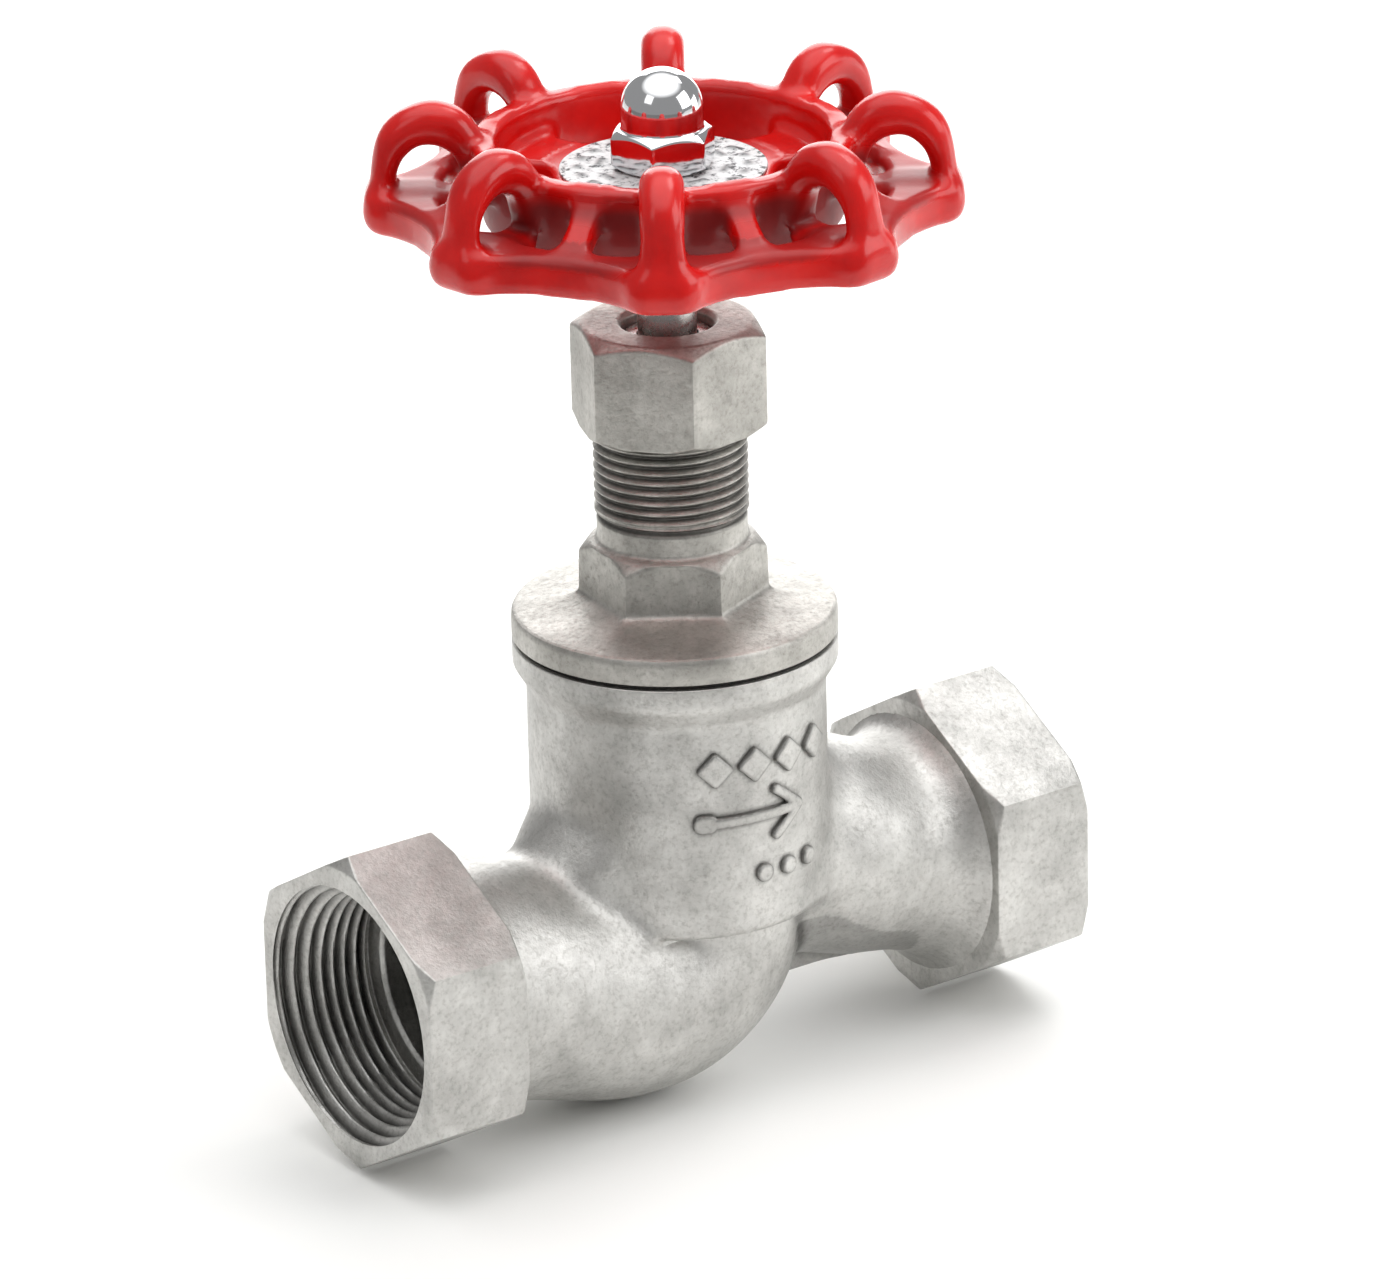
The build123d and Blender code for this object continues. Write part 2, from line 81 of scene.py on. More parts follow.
STEM_X = float(cad["bonnet"][0][0] + cad["bonnet"][1][0]) / 2
FACE_TO_FACE = float(cad["valve_body"][1][0])
BODY_LOW, BARREL_TOP = heights("valve_body")
print("nodes", len(cad), "stem at x =", round(STEM_X, 2), "face to face", round(FACE_TO_FACE, 2))

# %% [markdown]
# ## From numbers to meshes
# Blender can build shapes from primitives and modifiers, but a machined part is easier to
# say as numbers: rows of points round an axis, each row with a radius and a height. These
# helpers put whole numpy arrays into a mesh at once, and round every corner of an outline
# with a short Bezier curve, because no real edge is a knife edge.

# %% Mesh helpers
TURN_STEPS = 180


def write_mesh(name, points_mm, quads, triangles=None):
    """A new object at the origin from points (n, 3) in millimetres, quads (m, 4) and any triangles."""
    if triangles is None:
        triangles = np.empty((0, 3), int)
    corners = np.concatenate([quads.ravel(), triangles.ravel()]).astype(np.int32)
    starts = np.concatenate([np.arange(len(quads)) * 4, quads.size + np.arange(len(triangles)) * 3])
    mesh = bpy.data.meshes.new(name)
    mesh.vertices.add(len(points_mm))
    mesh.vertices.foreach_set("co", (points_mm * MM).astype(np.float32).ravel())
    mesh.loops.add(len(corners))
    mesh.loops.foreach_set("vertex_index", corners)
    mesh.polygons.add(len(starts))
    mesh.polygons.foreach_set("loop_start", starts.astype(np.int32))
    mesh.update(calc_edges=True)
    piece = bpy.data.objects.new(name, mesh)
    bpy.context.scene.collection.objects.link(piece)
    return piece


def shade(piece, sharp_angle=32):
    """Smooth shading, with an edge kept sharp where its faces turn by more than the angle."""
    piece.data.polygons.foreach_set("use_smooth", np.ones(len(piece.data.polygons), dtype=bool))
    piece.data.set_sharp_from_angle(angle=radians(sharp_angle))
    return piece


def angles(steps=TURN_STEPS):
    """Even angles round a full turn, in radians; the last one closes on the first."""
    return np.arange(steps) * 2 * pi / steps


def row(radius, height, rounding=0.0, steps=TURN_STEPS):
    """One ring of an outline: radius and height, each a number or one value for each angle."""
    theta = angles(steps)
    radius = np.broadcast_to(np.asarray(radius, float), theta.shape)
    height = np.broadcast_to(np.asarray(height, float), theta.shape)
    points = np.stack([radius * np.cos(theta), radius * np.sin(theta), height], axis=1)
    return points, rounding


def soften(rows, closed, steps=3):
    """Round each corner ring of an outline.

    Both sides of a corner are cut back by its rounding, never past half of a side, and the
    cut is bridged by a quadratic Bezier curve whose middle point is the corner itself.
    """
    result = []
    count = len(rows)
    for index, (corner, rounding) in enumerate(rows):
        at_end = not closed and index in (0, count - 1)
        if rounding <= 0 or at_end:
            result.append(corner)
            continue
        before = rows[index - 1][0] - corner
        after = rows[(index + 1) % count][0] - corner
        cut_before = np.minimum(rounding / (np.linalg.norm(before, axis=1) + 1e-9), 0.49)[:, None]
        cut_after = np.minimum(rounding / (np.linalg.norm(after, axis=1) + 1e-9), 0.49)[:, None]
        start = corner + before * cut_before
        end = corner + after * cut_after
        for share in np.linspace(0, 1, steps + 1):
            from_start = (1 - share) ** 2 * start + 2 * share * (1 - share) * corner
            result.append(from_start + share**2 * end)
    return np.stack(result)


def grid_faces(row_count, column_count, closed):
    """Quads between neighbouring rows, each row a loop; if closed, the last row joins the first."""
    last = row_count if closed else row_count - 1
    rows_index, columns = np.meshgrid(np.arange(last), np.arange(column_count), indexing="ij")
    next_row = (rows_index + 1) % row_count
    next_column = (columns + 1) % column_count
    quads = [
        rows_index * column_count + columns,
        rows_index * column_count + next_column,
        next_row * column_count + next_column,
        next_row * column_count + columns,
    ]
    return np.stack([q.ravel() for q in quads], axis=1)


def turned(name, rows, centre=(0, 0, 0), along="z", closed=False):
    """A solid from outline rows round an axis, listed bottom first on the outside of the solid.

    An open outline is closed by one more point on the axis at each end. A closed outline,
    such as a ring's, joins its last row to its first. Along x, the height becomes x.
    """
    grid = soften(rows, closed)
    row_count, column_count = grid.shape[:2]
    points = grid.reshape(-1, 3)
    faces = grid_faces(row_count, column_count, closed)
    triangles = None
    if not closed:
        column = np.arange(column_count)
        following = (column + 1) % column_count
        last = (row_count - 1) * column_count
        low_pole = np.full(column_count, len(points))
        triangles = np.vstack([
            np.stack([low_pole, following, column], axis=1),
            np.stack([low_pole + 1, last + column, last + following], axis=1),
        ])
        points = np.vstack([points, [[0, 0, points[0, 2]], [0, 0, points[last, 2]]]])
    if along == "x":
        points = points[:, [2, 0, 1]]
    if along == "-x":
        points = points[:, [2, 0, 1]] * (-1, 1, -1)
    return write_mesh(name, points + np.array(centre, float), faces, triangles)


def hexagon_radius(flats, corner_round, turn_degrees, steps=TURN_STEPS):
    """Radius of a hexagon at each angle.

    Between corners it is half the flats over the cosine of the angle from the flat's middle.
    Near a corner it is where the ray meets the small circle that rounds the corner.
    """
    half = flats / 2
    from_corner = (angles(steps) - radians(turn_degrees) + pi / 6) % (pi / 3) - pi / 6
    flat = half / np.cos(pi / 6 - np.abs(from_corner))
    centre = (half - corner_round) / cos(pi / 6)
    inside = np.maximum(corner_round**2 - (centre * np.sin(from_corner)) ** 2, 0)
    arc = centre * np.cos(from_corner) + np.sqrt(inside)
    tangent = np.arctan2(corner_round * 0.5, centre + corner_round * cos(pi / 6))
    return np.where(np.abs(from_corner) < tangent, arc, flat)


def thread_rows(radius, depth, pitch, start, end, rows_per_turn, fade, inward=False, steps=TURN_STEPS):
    """Rows of a screw thread between two heights, on a radius or on a radius that follows the height.

    The radius falls from the crest by the depth times a rounded triangle wave of the phase,
    height over pitch less angle over a full turn, and the depth fades out at both ends, over
    the fade in turns.
    """
    count = int((end - start) / pitch * rows_per_turn) + 1
    theta = angles(steps)
    rows = []
    for height in np.linspace(start, end, count):
        phase = (height / pitch - theta / (2 * pi)) % 1.0
        wave = np.clip(np.abs(phase - 0.5) * 2.6 - 0.15, 0, 1)
        reach = np.clip(np.array([height - start, end - height]) / (pitch * fade), 0, 1)
        cut = depth * wave * reach[0] * reach[1]
        crest = radius(height) if callable(radius) else radius
        rows.append(row(crest + cut if inward else crest - cut, height, 0, steps))
    return rows


def mark_shade_and_print(piece, amount):
    """Store a value from 0 to 1 for each vertex as an attribute that finishes can read: painted shade on
    most pieces, stamped print on the nameplate.
    """
    count = len(piece.data.vertices)
    points = np.empty(count * 3, np.float32)
    piece.data.vertices.foreach_get("co", points)
    x, y, z = points.reshape(-1, 3).T / MM
    layer = piece.data.attributes.new("grime", "FLOAT", "POINT")
    layer.data.foreach_set("value", np.clip(amount(x, y, z), 0, 1).astype(np.float32))


print("a turned outline has", TURN_STEPS, "columns")

# %% [markdown]
# ## Surfaces of a field
# A casting has no sketch lines: its necks, bowl and barrel run into each other with soft
# hollows. That is easy to say as a field, a number at each point of space that is negative
# inside the metal. Two fields join with a smooth minimum, which fills the corner between
# them. The surface is where the field is zero. It could be found with metaballs or a remesh
# modifier, but both only come near it, so the points are found here and then slid along the
# field's slope until they lie on it.

# %% Field helpers


def smooth_min(a, b, blend):
    """The smaller of two fields, with the corner between them filled over the blend distance."""
    share = np.clip(0.5 + 0.5 * (b - a) / blend, 0, 1)
    return b * (1 - share) + a * share - blend * share * (1 - share)


def smooth_max(a, b, blend):
    """The larger of two fields, with its edge rounded over the blend distance."""
    return -smooth_min(-a, -b, blend)


def outline_distance(u, v, corners):
    """Signed distance in the plane to a closed outline: the nearest side, negative inside.

    A point is inside if a ray from it crosses the sides an odd number of times.
    """
    best = np.full(u.shape, 1e9)
    inside = np.zeros(u.shape, bool)
    count = len(corners)
    for index in range(count):
        au, av = corners[index]
        bu, bv = corners[(index + 1) % count]
        du, dv = bu - au, bv - av
        share = np.clip(((u - au) * du + (v - av) * dv) / (du * du + dv * dv + 1e-12), 0, 1)
        best = np.minimum(best, (u - au - share * du) ** 2 + (v - av - share * dv) ** 2)
        if dv != 0:
            crosses = (av > v) != (bv > v)
            inside ^= crosses & (u < (bu - au) * (v - av) / dv + au)
    distance = np.sqrt(best)
    return np.where(inside, -distance, distance)


def surface_net(field, low, high, step):
    """Points and quads of a field's zero surface.

    Each grid cell that the surface crosses gets one point, the mean of the crossings on its
    edges, and each crossed grid edge gets a quad between the four cells round it.
    """
    axes = [np.arange(low[i] - step, high[i] + 2 * step, step) for i in range(3)]
    grid = np.meshgrid(*axes, indexing="ij")
    values = field(*grid)
    inside = values < 0
    cells = tuple(n - 1 for n in values.shape)
    total = np.zeros(cells + (3,))
    number = np.zeros(cells)
    crossings = []
    for axis in range(3):
        first = [slice(None)] * 3
        second = [slice(None)] * 3
        first[axis], second[axis] = slice(None, -1), slice(1, None)
        first, second = tuple(first), tuple(second)
        crossed = inside[first] != inside[second]
        share = np.where(crossed, values[first] / (values[first] - values[second] + 1e-30), 0)
        place = np.stack([g[first] for g in grid], axis=-1)
        place[..., axis] += share * step
        side_a, side_b = [i for i in range(3) if i != axis]
        for shift_a, shift_b in ((0, 0), (0, 1), (1, 0), (1, 1)):
            part = [slice(None)] * 3
            for side, shift in ((side_a, shift_a), (side_b, shift_b)):
                part[side] = slice(shift, shift + cells[side])
            part = tuple(part)
            total += np.where(crossed[part][..., None], place[part], 0)
            number += crossed[part]
        crossings.append((axis, side_a, side_b, crossed, inside[first]))
    used = number > 0
    index = np.full(cells, -1)
    index[used] = np.arange(used.sum())
    points = total[used] / number[used][:, None]
    quads = []
    for axis, side_a, side_b, crossed, starts_inside in crossings:
        where = np.argwhere(crossed)
        ok = (where[:, side_a] > 0) & (where[:, side_b] > 0)
        ok &= (where[:, side_a] < cells[side_a]) & (where[:, side_b] < cells[side_b])
        where = where[ok]
        ring = []
        for shift_a, shift_b in ((1, 1), (0, 1), (0, 0), (1, 0)):
            cell = where.copy()
            cell[:, side_a] -= shift_a
            cell[:, side_b] -= shift_b
            ring.append(index[tuple(cell.T)])
        ring = np.stack(ring, axis=1)
        outward = starts_inside[tuple(where.T)]
        if axis == 1:
            outward = ~outward
        quads.append(np.where(outward[:, None], ring, ring[:, ::-1]))
    return points, np.vstack(quads)


def slope(field, points, reach=0.03):
    """Central differences of a field at each point."""
    result = np.empty_like(points)
    for axis in range(3):
        step = np.zeros(3)
        step[axis] = reach
        ahead = field(*(points + step).T)
        behind = field(*(points - step).T)
        result[:, axis] = (ahead - behind) / (2 * reach)
    return result


def settle(field, points, rounds=3, longest=0.6):
    """Slide points down the field's slope on to its zero surface, a limited step at a time."""
    for _ in range(rounds):
        uphill = slope(field, points)
        steep = (uphill**2).sum(axis=1) + 1e-6
        move = -(field(*points.T) / steep)[:, None] * uphill
        size = np.linalg.norm(move, axis=1, keepdims=True)
        points = points + move * np.minimum(1, longest / (size + 1e-9))
    return points


def even_out(points, quads, share=0.5):
    """Move each point part of the way to the mean of its neighbours along the quads' sides."""
    ends = np.vstack([quads[:, [i, (i + 1) % 4]] for i in range(4)])
    total = np.zeros_like(points)
    for axis in range(3):
        total[:, axis] = np.bincount(ends[:, 0], points[ends[:, 1], axis], len(points))
        total[:, axis] += np.bincount(ends[:, 1], points[ends[:, 0], axis], len(points))
    number = np.bincount(ends.ravel(), minlength=len(points))[:, None]
    return points + share * (total / np.maximum(number, 1) - points)


def cast(name, field, low, high, step, rounds=3):
    """A closed mesh of a field's surface, with its points evened out and settled in turn."""
    points, quads = surface_net(field, low, high, step)
    points = settle(field, points)
    for _ in range(rounds):
        points = even_out(points, quads)
        points = settle(field, points, rounds=2)
    miss = float(np.abs(field(*points.T)).max())
    print(name, "has", len(quads), "quads; largest miss", round(miss, 3), "mm")
    return write_mesh(name, points, quads)


def combine(piece, tool, operation):
    """Join, cut or intersect a closed mesh with another, as a union or a cutter would."""
    cutting = piece.modifiers.new(operation, "BOOLEAN")
    cutting.operation = operation
    cutting.solver = "MANIFOLD"
    cutting.object = tool
    graph = bpy.context.evaluated_depsgraph_get()
    result = bpy.data.meshes.new_from_object(piece.evaluated_get(graph))
    piece.modifiers.clear()
    old = piece.data
    piece.data = result
    result.name = piece.name
    bpy.data.meshes.remove(old)
    bpy.data.objects.remove(tool)
    return piece


print("two equal fields, joined over 5 mm, dip by", -smooth_min(0.0, 0.0, 5.0), "mm")

# %% [markdown]
# ## The body casting
# The body is investment-cast stainless steel. The inlet neck dips into a round bowl under the
# barrel, the flow rises through the seat, and the outlet neck slopes back down to the pipe
# axis. Modelling this from primitives leaves hard seams, so the outside is one field, and
# the two hexagon ends, which are crisp, are turned outlines joined to it. The bores and their
# pipe threads are cut afterwards, as on the real casting.

# %% Body outside
BARREL_R = 25.7
BARREL_BOTTOM = 5.4
COLLAR_R = float(cad["valve_body"][1][1])
NECK_R = 21.7
BOWL_R = 21.4
BEND_R = 12.0
BOWL_DROP = 7.5
BEND_X = STEM_X - BEND_R
BEND_Z = BEND_R - BOWL_DROP
PORT_LENGTH = 20.0
PORT_FLATS = 50.0
OUTLET_R = 20.4
OUTLET_RISE = 7.6
OUTLET_END = FACE_TO_FACE - PORT_LENGTH

EDGE = 1.3
barrel_outline = [
    (0, BARREL_BOTTOM + EDGE),
    (BARREL_R - EDGE, BARREL_BOTTOM + EDGE),
    (BARREL_R - EDGE, BARREL_TOP - 3.6 - 3.7),
    (COLLAR_R - EDGE, BARREL_TOP - 3.6),
    (COLLAR_R - EDGE, BARREL_TOP + 8),
    (0, BARREL_TOP + 8),
]


def ease(value, start, end):
    """A smooth step from 0 at the start to 1 at the end."""
    share = np.clip((value - start) / (end - start), 0, 1)
    return share * share * (3 - 2 * share)


def from_stem(x, y):
    """Distance from the stem's axis."""
    return np.sqrt((x - STEM_X) ** 2 + y**2)


def inlet_neck(x, y, z):
    """A tube whose centre eases down to the bowl's, and flares a little on to the hexagon."""
    centre = -BOWL_DROP * ease(x, PORT_LENGTH + 1, BEND_X - 2)
    flare = 2.0 * np.exp(-np.maximum(x - PORT_LENGTH, 0) / 1.6)
    size = NECK_R + (BOWL_R - NECK_R) * ease(x, PORT_LENGTH, BEND_X - 2)
    radial = np.sqrt(y**2 + (z - centre) ** 2) - size - flare
    return np.maximum(radial, np.maximum(x - BEND_X, PORT_LENGTH - 1 - x))


def shoulder(x, y, z):
    """A soft swelling where the inlet's roof climbs on to the barrel."""
    flat = np.sqrt(((x - STEM_X + 24.0) / 7.0) ** 2 + (y / 11.0) ** 2 + ((z - 16.5) / 7.0) ** 2)
    return (flat - 1) * 7.0


def bowl(x, y, z):
    """The quarter bend, which is distance from a ring-shaped line, then up into the barrel."""
    reach = np.sqrt((x - BEND_X) ** 2 + (z - BEND_Z) ** 2) - BEND_R
    bend = np.sqrt(reach**2 + y**2) - BOWL_R
    bend = np.where((x > BEND_X) & (z < BEND_Z), bend, 1e3)
    riser = np.maximum(from_stem(x, y) - BOWL_R, z - BARREL_BOTTOM - 6)
    riser = np.where(z >= BEND_Z, riser, 1e3)
    return np.minimum(bend, riser)


def outlet_neck(x, y, z):
    """A tube that slopes down from the barrel, bulges, and flares on to the outlet hexagon."""
    centre = OUTLET_RISE * (1 - ease(x, STEM_X + 18, OUTLET_END + 4))
    bulge = 1.6 * np.exp(-(((x - STEM_X - 29) / 9) ** 2))
    flare = 4.6 * np.exp(-np.maximum(OUTLET_END - x, 0) / 3.2)
    radial = np.sqrt(y**2 + (z - centre) ** 2) - (OUTLET_R - 1.6) - bulge - flare
    return np.maximum(radial, np.maximum(x - OUTLET_END - 1, STEM_X + 4 - x))


def barrel(x, y, z):
    """The turned outline round the stem, with its corners rounded."""
    field = outline_distance(from_stem(x, y), z, barrel_outline) - EDGE
    return np.maximum(field, z - BARREL_TOP + 1.2)


def web(x, y, z):
    """The thin rib between the bowl and the outlet neck."""
    half = np.array([11.0, 1.7, 9.0])
    centre = np.array([STEM_X + 26.0, 0.0, -7.5])
    q = [np.abs(p - c) - h for p, c, h in zip((x, y, z), centre, half)]
    outside = np.sqrt(sum(np.maximum(part, 0) ** 2 for part in q))
    return outside + np.minimum(np.maximum(q[0], np.maximum(q[1], q[2])), 0)


def casting(x, y, z):
    """The body's outside: bowl and inlet neck, barrel, outlet neck and web, joined with hollows."""
    lower = smooth_min(np.minimum(inlet_neck(x, y, z), bowl(x, y, z)), shoulder(x, y, z), 5.0)
    upper = smooth_min(barrel(x, y, z), outlet_neck(x, y, z), 5.0)
    # under the outlet the barrel overhangs the bowl in a plain step; over the inlet they melt together
    field = smooth_min(lower, upper, 0.9 + 4.6 * (1 - ease(x, STEM_X - 26, STEM_X - 14)))
    return smooth_min(field, web(x, y, z), 2.5)


body = cast(
    "valve_body_casting", casting,
    (PORT_LENGTH - 1, -COLLAR_R, -BOWL_DROP - BOWL_R), (OUTLET_END + 1, COLLAR_R, BARREL_TOP),
    0.8,
)

# %% [markdown]
# ## Raised marks
# A foundry casts a flow arrow and rating marks into the side of the barrel. The arrow says
# something true about this valve, so it stays; the rest are plain pads and dots without any
# meaning. They are a finer field of their own, wrapped round the barrel: the distance along
# the wall is the angle times the radius.

# %% Marks on the barrel
MARK_HEIGHT = 0.9


def pad(along, up, middle, height, half_long, half_high, rounding, turn_degrees):
    """Distance to a rounded rectangle in the unrolled wall."""
    c, s = cos(radians(turn_degrees)), sin(radians(turn_degrees))
    a, b = along - middle, up - height
    q = (np.abs(a * c + b * s) - half_long + rounding, np.abs(b * c - a * s) - half_high + rounding)
    outside = np.sqrt(np.maximum(q[0], 0) ** 2 + np.maximum(q[1], 0) ** 2)
    return outside + np.minimum(np.maximum(q[0], q[1]), 0) - rounding


def mark_plan(x, y, z):
    """Distance along the wall to the nearest mark: arrow, four pads or three dots."""
    along = BARREL_R * (np.arctan2(y, x - STEM_X) + pi / 2)
    pads = [(-3.0, 27.0, 9.5, 1.0, 0.9, 0), (-11.6, 27.0, 2.2, 1.7, 1.6, 0)]
    pads += [(4.2, 27.0 - 2.1 * way, 4.2, 0.95, 0.85, 38 * way) for way in (-1, 1)]
    pads += [(-9.8 + 7.2 * number, 36.6, 2.4, 2.4, 0.7, 45) for number in range(4)]
    pads += [(-1.0 + 5.2 * number, 16.4, 1.6, 1.6, 1.5, 0) for number in range(3)]
    return np.min([pad(along, z, *shape) for shape in pads], axis=0)


def marks(x, y, z):
    """The marks as a relief on the barrel's wall."""
    return smooth_max(mark_plan(x, y, z), np.abs(from_stem(x, y) - BARREL_R) - MARK_HEIGHT, 0.5)


relief = cast(
    "relief", marks,
    (STEM_X - 15, -BARREL_R - 1, 14), (STEM_X + 16, -BARREL_R * 0.75, 41),
    0.35, rounds=1,
)
body = combine(body, relief, "UNION")

# %% [markdown]
# ## Hexagon ends and pipe threads
# Each end is a hexagon, chamfered to a circle on both faces so that a wrench finds it. The
# chamfer's edge is a curve that rises at the corners: its row is placed where the cone
# meets the hexagon at each angle, so the edge is exact and not stepped. The threads are G 1 1/4,
# 11 to the inch, made as one spiral groove in the wall of the cutter.

# %% Hexagon ends
CHAMFER = tan(radians(30))
PORT_CHAMFER_R = 26.5
THREAD_MINOR_R = 19.476
THREAD_DEPTH = 1.5
THREAD_PITCH = 25.4 / 11
THREAD_LENGTH = 16.5
RING_BORE_R = 17.5


def hexagon_rows(flats, low, high, low_circle, high_circle, turn_degrees, corner_round=0.5, edge=0.35):
    """Rows of a chamfered hexagon from its lower face to its upper face."""
    wall = hexagon_radius(flats, corner_round, turn_degrees)
    return [
        row(np.minimum(low_circle, wall - 0.15), low, edge),
        row(wall, low + np.maximum(wall - low_circle, 0) * CHAMFER + 0.15, edge),
        row(wall, high - np.maximum(wall - high_circle, 0) * CHAMFER - 0.15, edge),
        row(np.minimum(high_circle, wall - 0.15), high, edge),
    ]


def port_hexagon(start):
    """A hexagon end with a corner up, from a pipe station."""
    rows = [row(2.0, 0)]
    rows += hexagon_rows(PORT_FLATS, 0, PORT_LENGTH, PORT_CHAMFER_R, PORT_CHAMFER_R, 90)
    rows.append(row(2.0, PORT_LENGTH))
    return turned("end", rows, centre=(start, 0, 0), along="x")


def crest_r(depth):
    """Radius of the thread's crests: the mouth's flare dies away as a bell curve of depth."""
    return THREAD_MINOR_R + 3.3 * np.exp(-((depth / 5.0) ** 2))


def port_cutter(mouth, along):
    """The tap, from outside the mouth inwards: thread, relief groove and smooth bore."""
    steps = 120
    thread_end = THREAD_LENGTH + 0.3
    rows = [row(*corner, steps) for corner in ((2.0, -2, 0), (26.4, -2, 0), (24.2, 0, 0.1))]
    rows += thread_rows(crest_r, THREAD_DEPTH, THREAD_PITCH, 0.15, thread_end, 14, 0.2, True, steps)
    rows += [row(*corner, steps) for corner in (
        (21.2, THREAD_LENGTH + 0.7, 0.3), (21.2, THREAD_LENGTH + 2.2, 0.3),
        (RING_BORE_R + 0.6, THREAD_LENGTH + 2.5, 0.3), (RING_BORE_R, THREAD_LENGTH + 3.2, 0.2),
        (RING_BORE_R, PORT_LENGTH + 3, 0), (2.0, PORT_LENGTH + 3, 0),
    )]
    return turned("tap", rows, centre=(mouth, 0, 0), along=along)


machined_rim = turned("rim", [
    row(5.0, BARREL_TOP - 3.0),
    row(COLLAR_R - 0.4, BARREL_TOP - 3.0, 0.3),
    row(COLLAR_R, BARREL_TOP - 2.6, 0.3),
    row(COLLAR_R, BARREL_TOP, 0.35),
    row(5.0, BARREL_TOP),
], (STEM_X, 0, 0))
body = combine(body, machined_rim, "UNION")
for start in (0, OUTLET_END):
    body = combine(body, port_hexagon(start), "UNION")
body = combine(body, port_cutter(0, "x"), "DIFFERENCE")
body = combine(body, port_cutter(FACE_TO_FACE, "-x"), "DIFFERENCE")
print("body with its threaded ends:", len(body.data.polygons), "faces")

# %% [markdown]
# ## Passages, chamber and seat
# The inside decides what shows through the ports: the bore ducks under the seat, the flow
# turns up through it into the chamber, and leaves over the far side. Each passage is a
# field too, and their union is cut out in one go.

# %% Passages
SEAT_Z = 14.0
CHAMBER_FLOOR = 12.5
CHAMBER_R = 22.3
SEAT_BORE_R = 15.5


def passages(x, y, z):
    """Inlet bore, bowl bore and seat bore, chamber and outlet bore, joined with small hollows."""
    inlet_centre = -BOWL_DROP * ease(x, PORT_LENGTH - 2, BEND_X - 6)
    inlet_radius = RING_BORE_R - 1.9 * ease(x, PORT_LENGTH, BEND_X - 8)
    inlet = np.sqrt(y**2 + (z - inlet_centre) ** 2) - inlet_radius
    inlet = np.maximum(inlet, np.maximum(x - BEND_X - 1, THREAD_LENGTH + 2.8 - x))
    reach = np.sqrt((x - BEND_X) ** 2 + (z - BEND_Z) ** 2) - BEND_R
    bend = np.where((x > BEND_X) & (z < BEND_Z), np.sqrt(reach**2 + y**2) - 15.8, 1e3)
    radius = from_stem(x, y)
    riser = np.maximum(radius - SEAT_BORE_R, np.maximum(BEND_Z - 0.5 - z, z - SEAT_Z - 2))
    lower = smooth_min(smooth_min(inlet, bend, 1.0), riser, 1.0)
    chamber = np.maximum(radius - CHAMBER_R, np.maximum(CHAMBER_FLOOR - z, z - BARREL_TOP - 2))
    land = np.maximum(radius - SEAT_BORE_R - 3, z - SEAT_Z)
    chamber = np.maximum(chamber, -land)
    outlet_centre = 10 - 10 * ease(x, STEM_X + 16, OUTLET_END)
    outlet = np.sqrt(y**2 + (z - outlet_centre) ** 2) - 15.6 - 1.9 * ease(x, OUTLET_END - 14, OUTLET_END)
    outlet = np.maximum(outlet, np.maximum(STEM_X + SEAT_BORE_R + 3.2 - x, x - OUTLET_END - 2.5))
    upper = smooth_min(chamber, outlet, 1.5)
    return np.minimum(lower, upper)


cavity = cast(
    "cavity", passages,
    (THREAD_LENGTH + 2.8, -CHAMBER_R, -BOWL_DROP - 17), (OUTLET_END + 3, CHAMBER_R, BARREL_TOP + 2),
    0.9, rounds=2,
)
body = combine(body, cavity, "DIFFERENCE")
body = shade(body)


def body_painted_shade(x, y, z):
    """Painted shade: darker with depth in the pipe threads, in the bores past them, and in the crease under
    the barrel and round the raised marks.
    """
    from_mouth = np.minimum(x, FACE_TO_FACE - x)
    depth = (np.sqrt(y**2 + z**2) - crest_r(from_mouth) - 0.15) / (THREAD_DEPTH - 0.2)
    threaded = (from_mouth > 0.3) & (from_mouth < THREAD_LENGTH + 0.5)
    inside = np.sqrt(y**2 + z**2) < crest_r(from_mouth) + THREAD_DEPTH + 0.2
    passage = (from_mouth >= THREAD_LENGTH + 6) & (np.sqrt(y**2 + z**2) < RING_BORE_R + 0.3)
    lower = np.minimum(inlet_neck(x, y, z), bowl(x, y, z))
    upper = np.minimum(barrel(x, y, z), outlet_neck(x, y, z))
    crease = np.exp(-(((lower - upper) / 0.9) ** 2)) * ease(x, STEM_X - 20, STEM_X - 10)
    on_barrel = np.abs(from_stem(x, y) - BARREL_R) < 1.2
    edge = np.exp(-((mark_plan(x, y, z) / 0.45) ** 2)) * (on_barrel & (y < 0) & (z > 10) & (z < 42))
    return np.where(threaded & inside, depth, 0.0) + 0.4 * passage + 0.6 * crease + 0.65 * edge


mark_shade_and_print(body, body_painted_shade)
print("finished body:", len(body.data.polygons), "faces")

# %% [markdown]
# ## Bonnet
# The bonnet is one casting that is then turned: a flange with a slightly conical top, a
# wrench hexagon, and a long neck with a thread for the gland nut. All of it is one outline.

# %% Bonnet
BONNET_LOW, BONNET_HIGH = heights("bonnet")
FLANGE_BOTTOM = BARREL_TOP + 0.8
FLANGE_TOP = FLANGE_BOTTOM + 4.7
HEX_BOTTOM = FLANGE_TOP + 1.9
HEX_TOP = HEX_BOTTOM + 10.2
BONNET_TURN = -36.2
NECK_THREAD_R = 13.2
NECK_THREAD_START = HEX_TOP + 5.6
stem_centre = (STEM_X, 0, 0)


def ring_piece(name, rows):
    """A shaded solid round the stem from a closed outline, so with a hole through it."""
    return shade(turned(name, rows, stem_centre, closed=True))


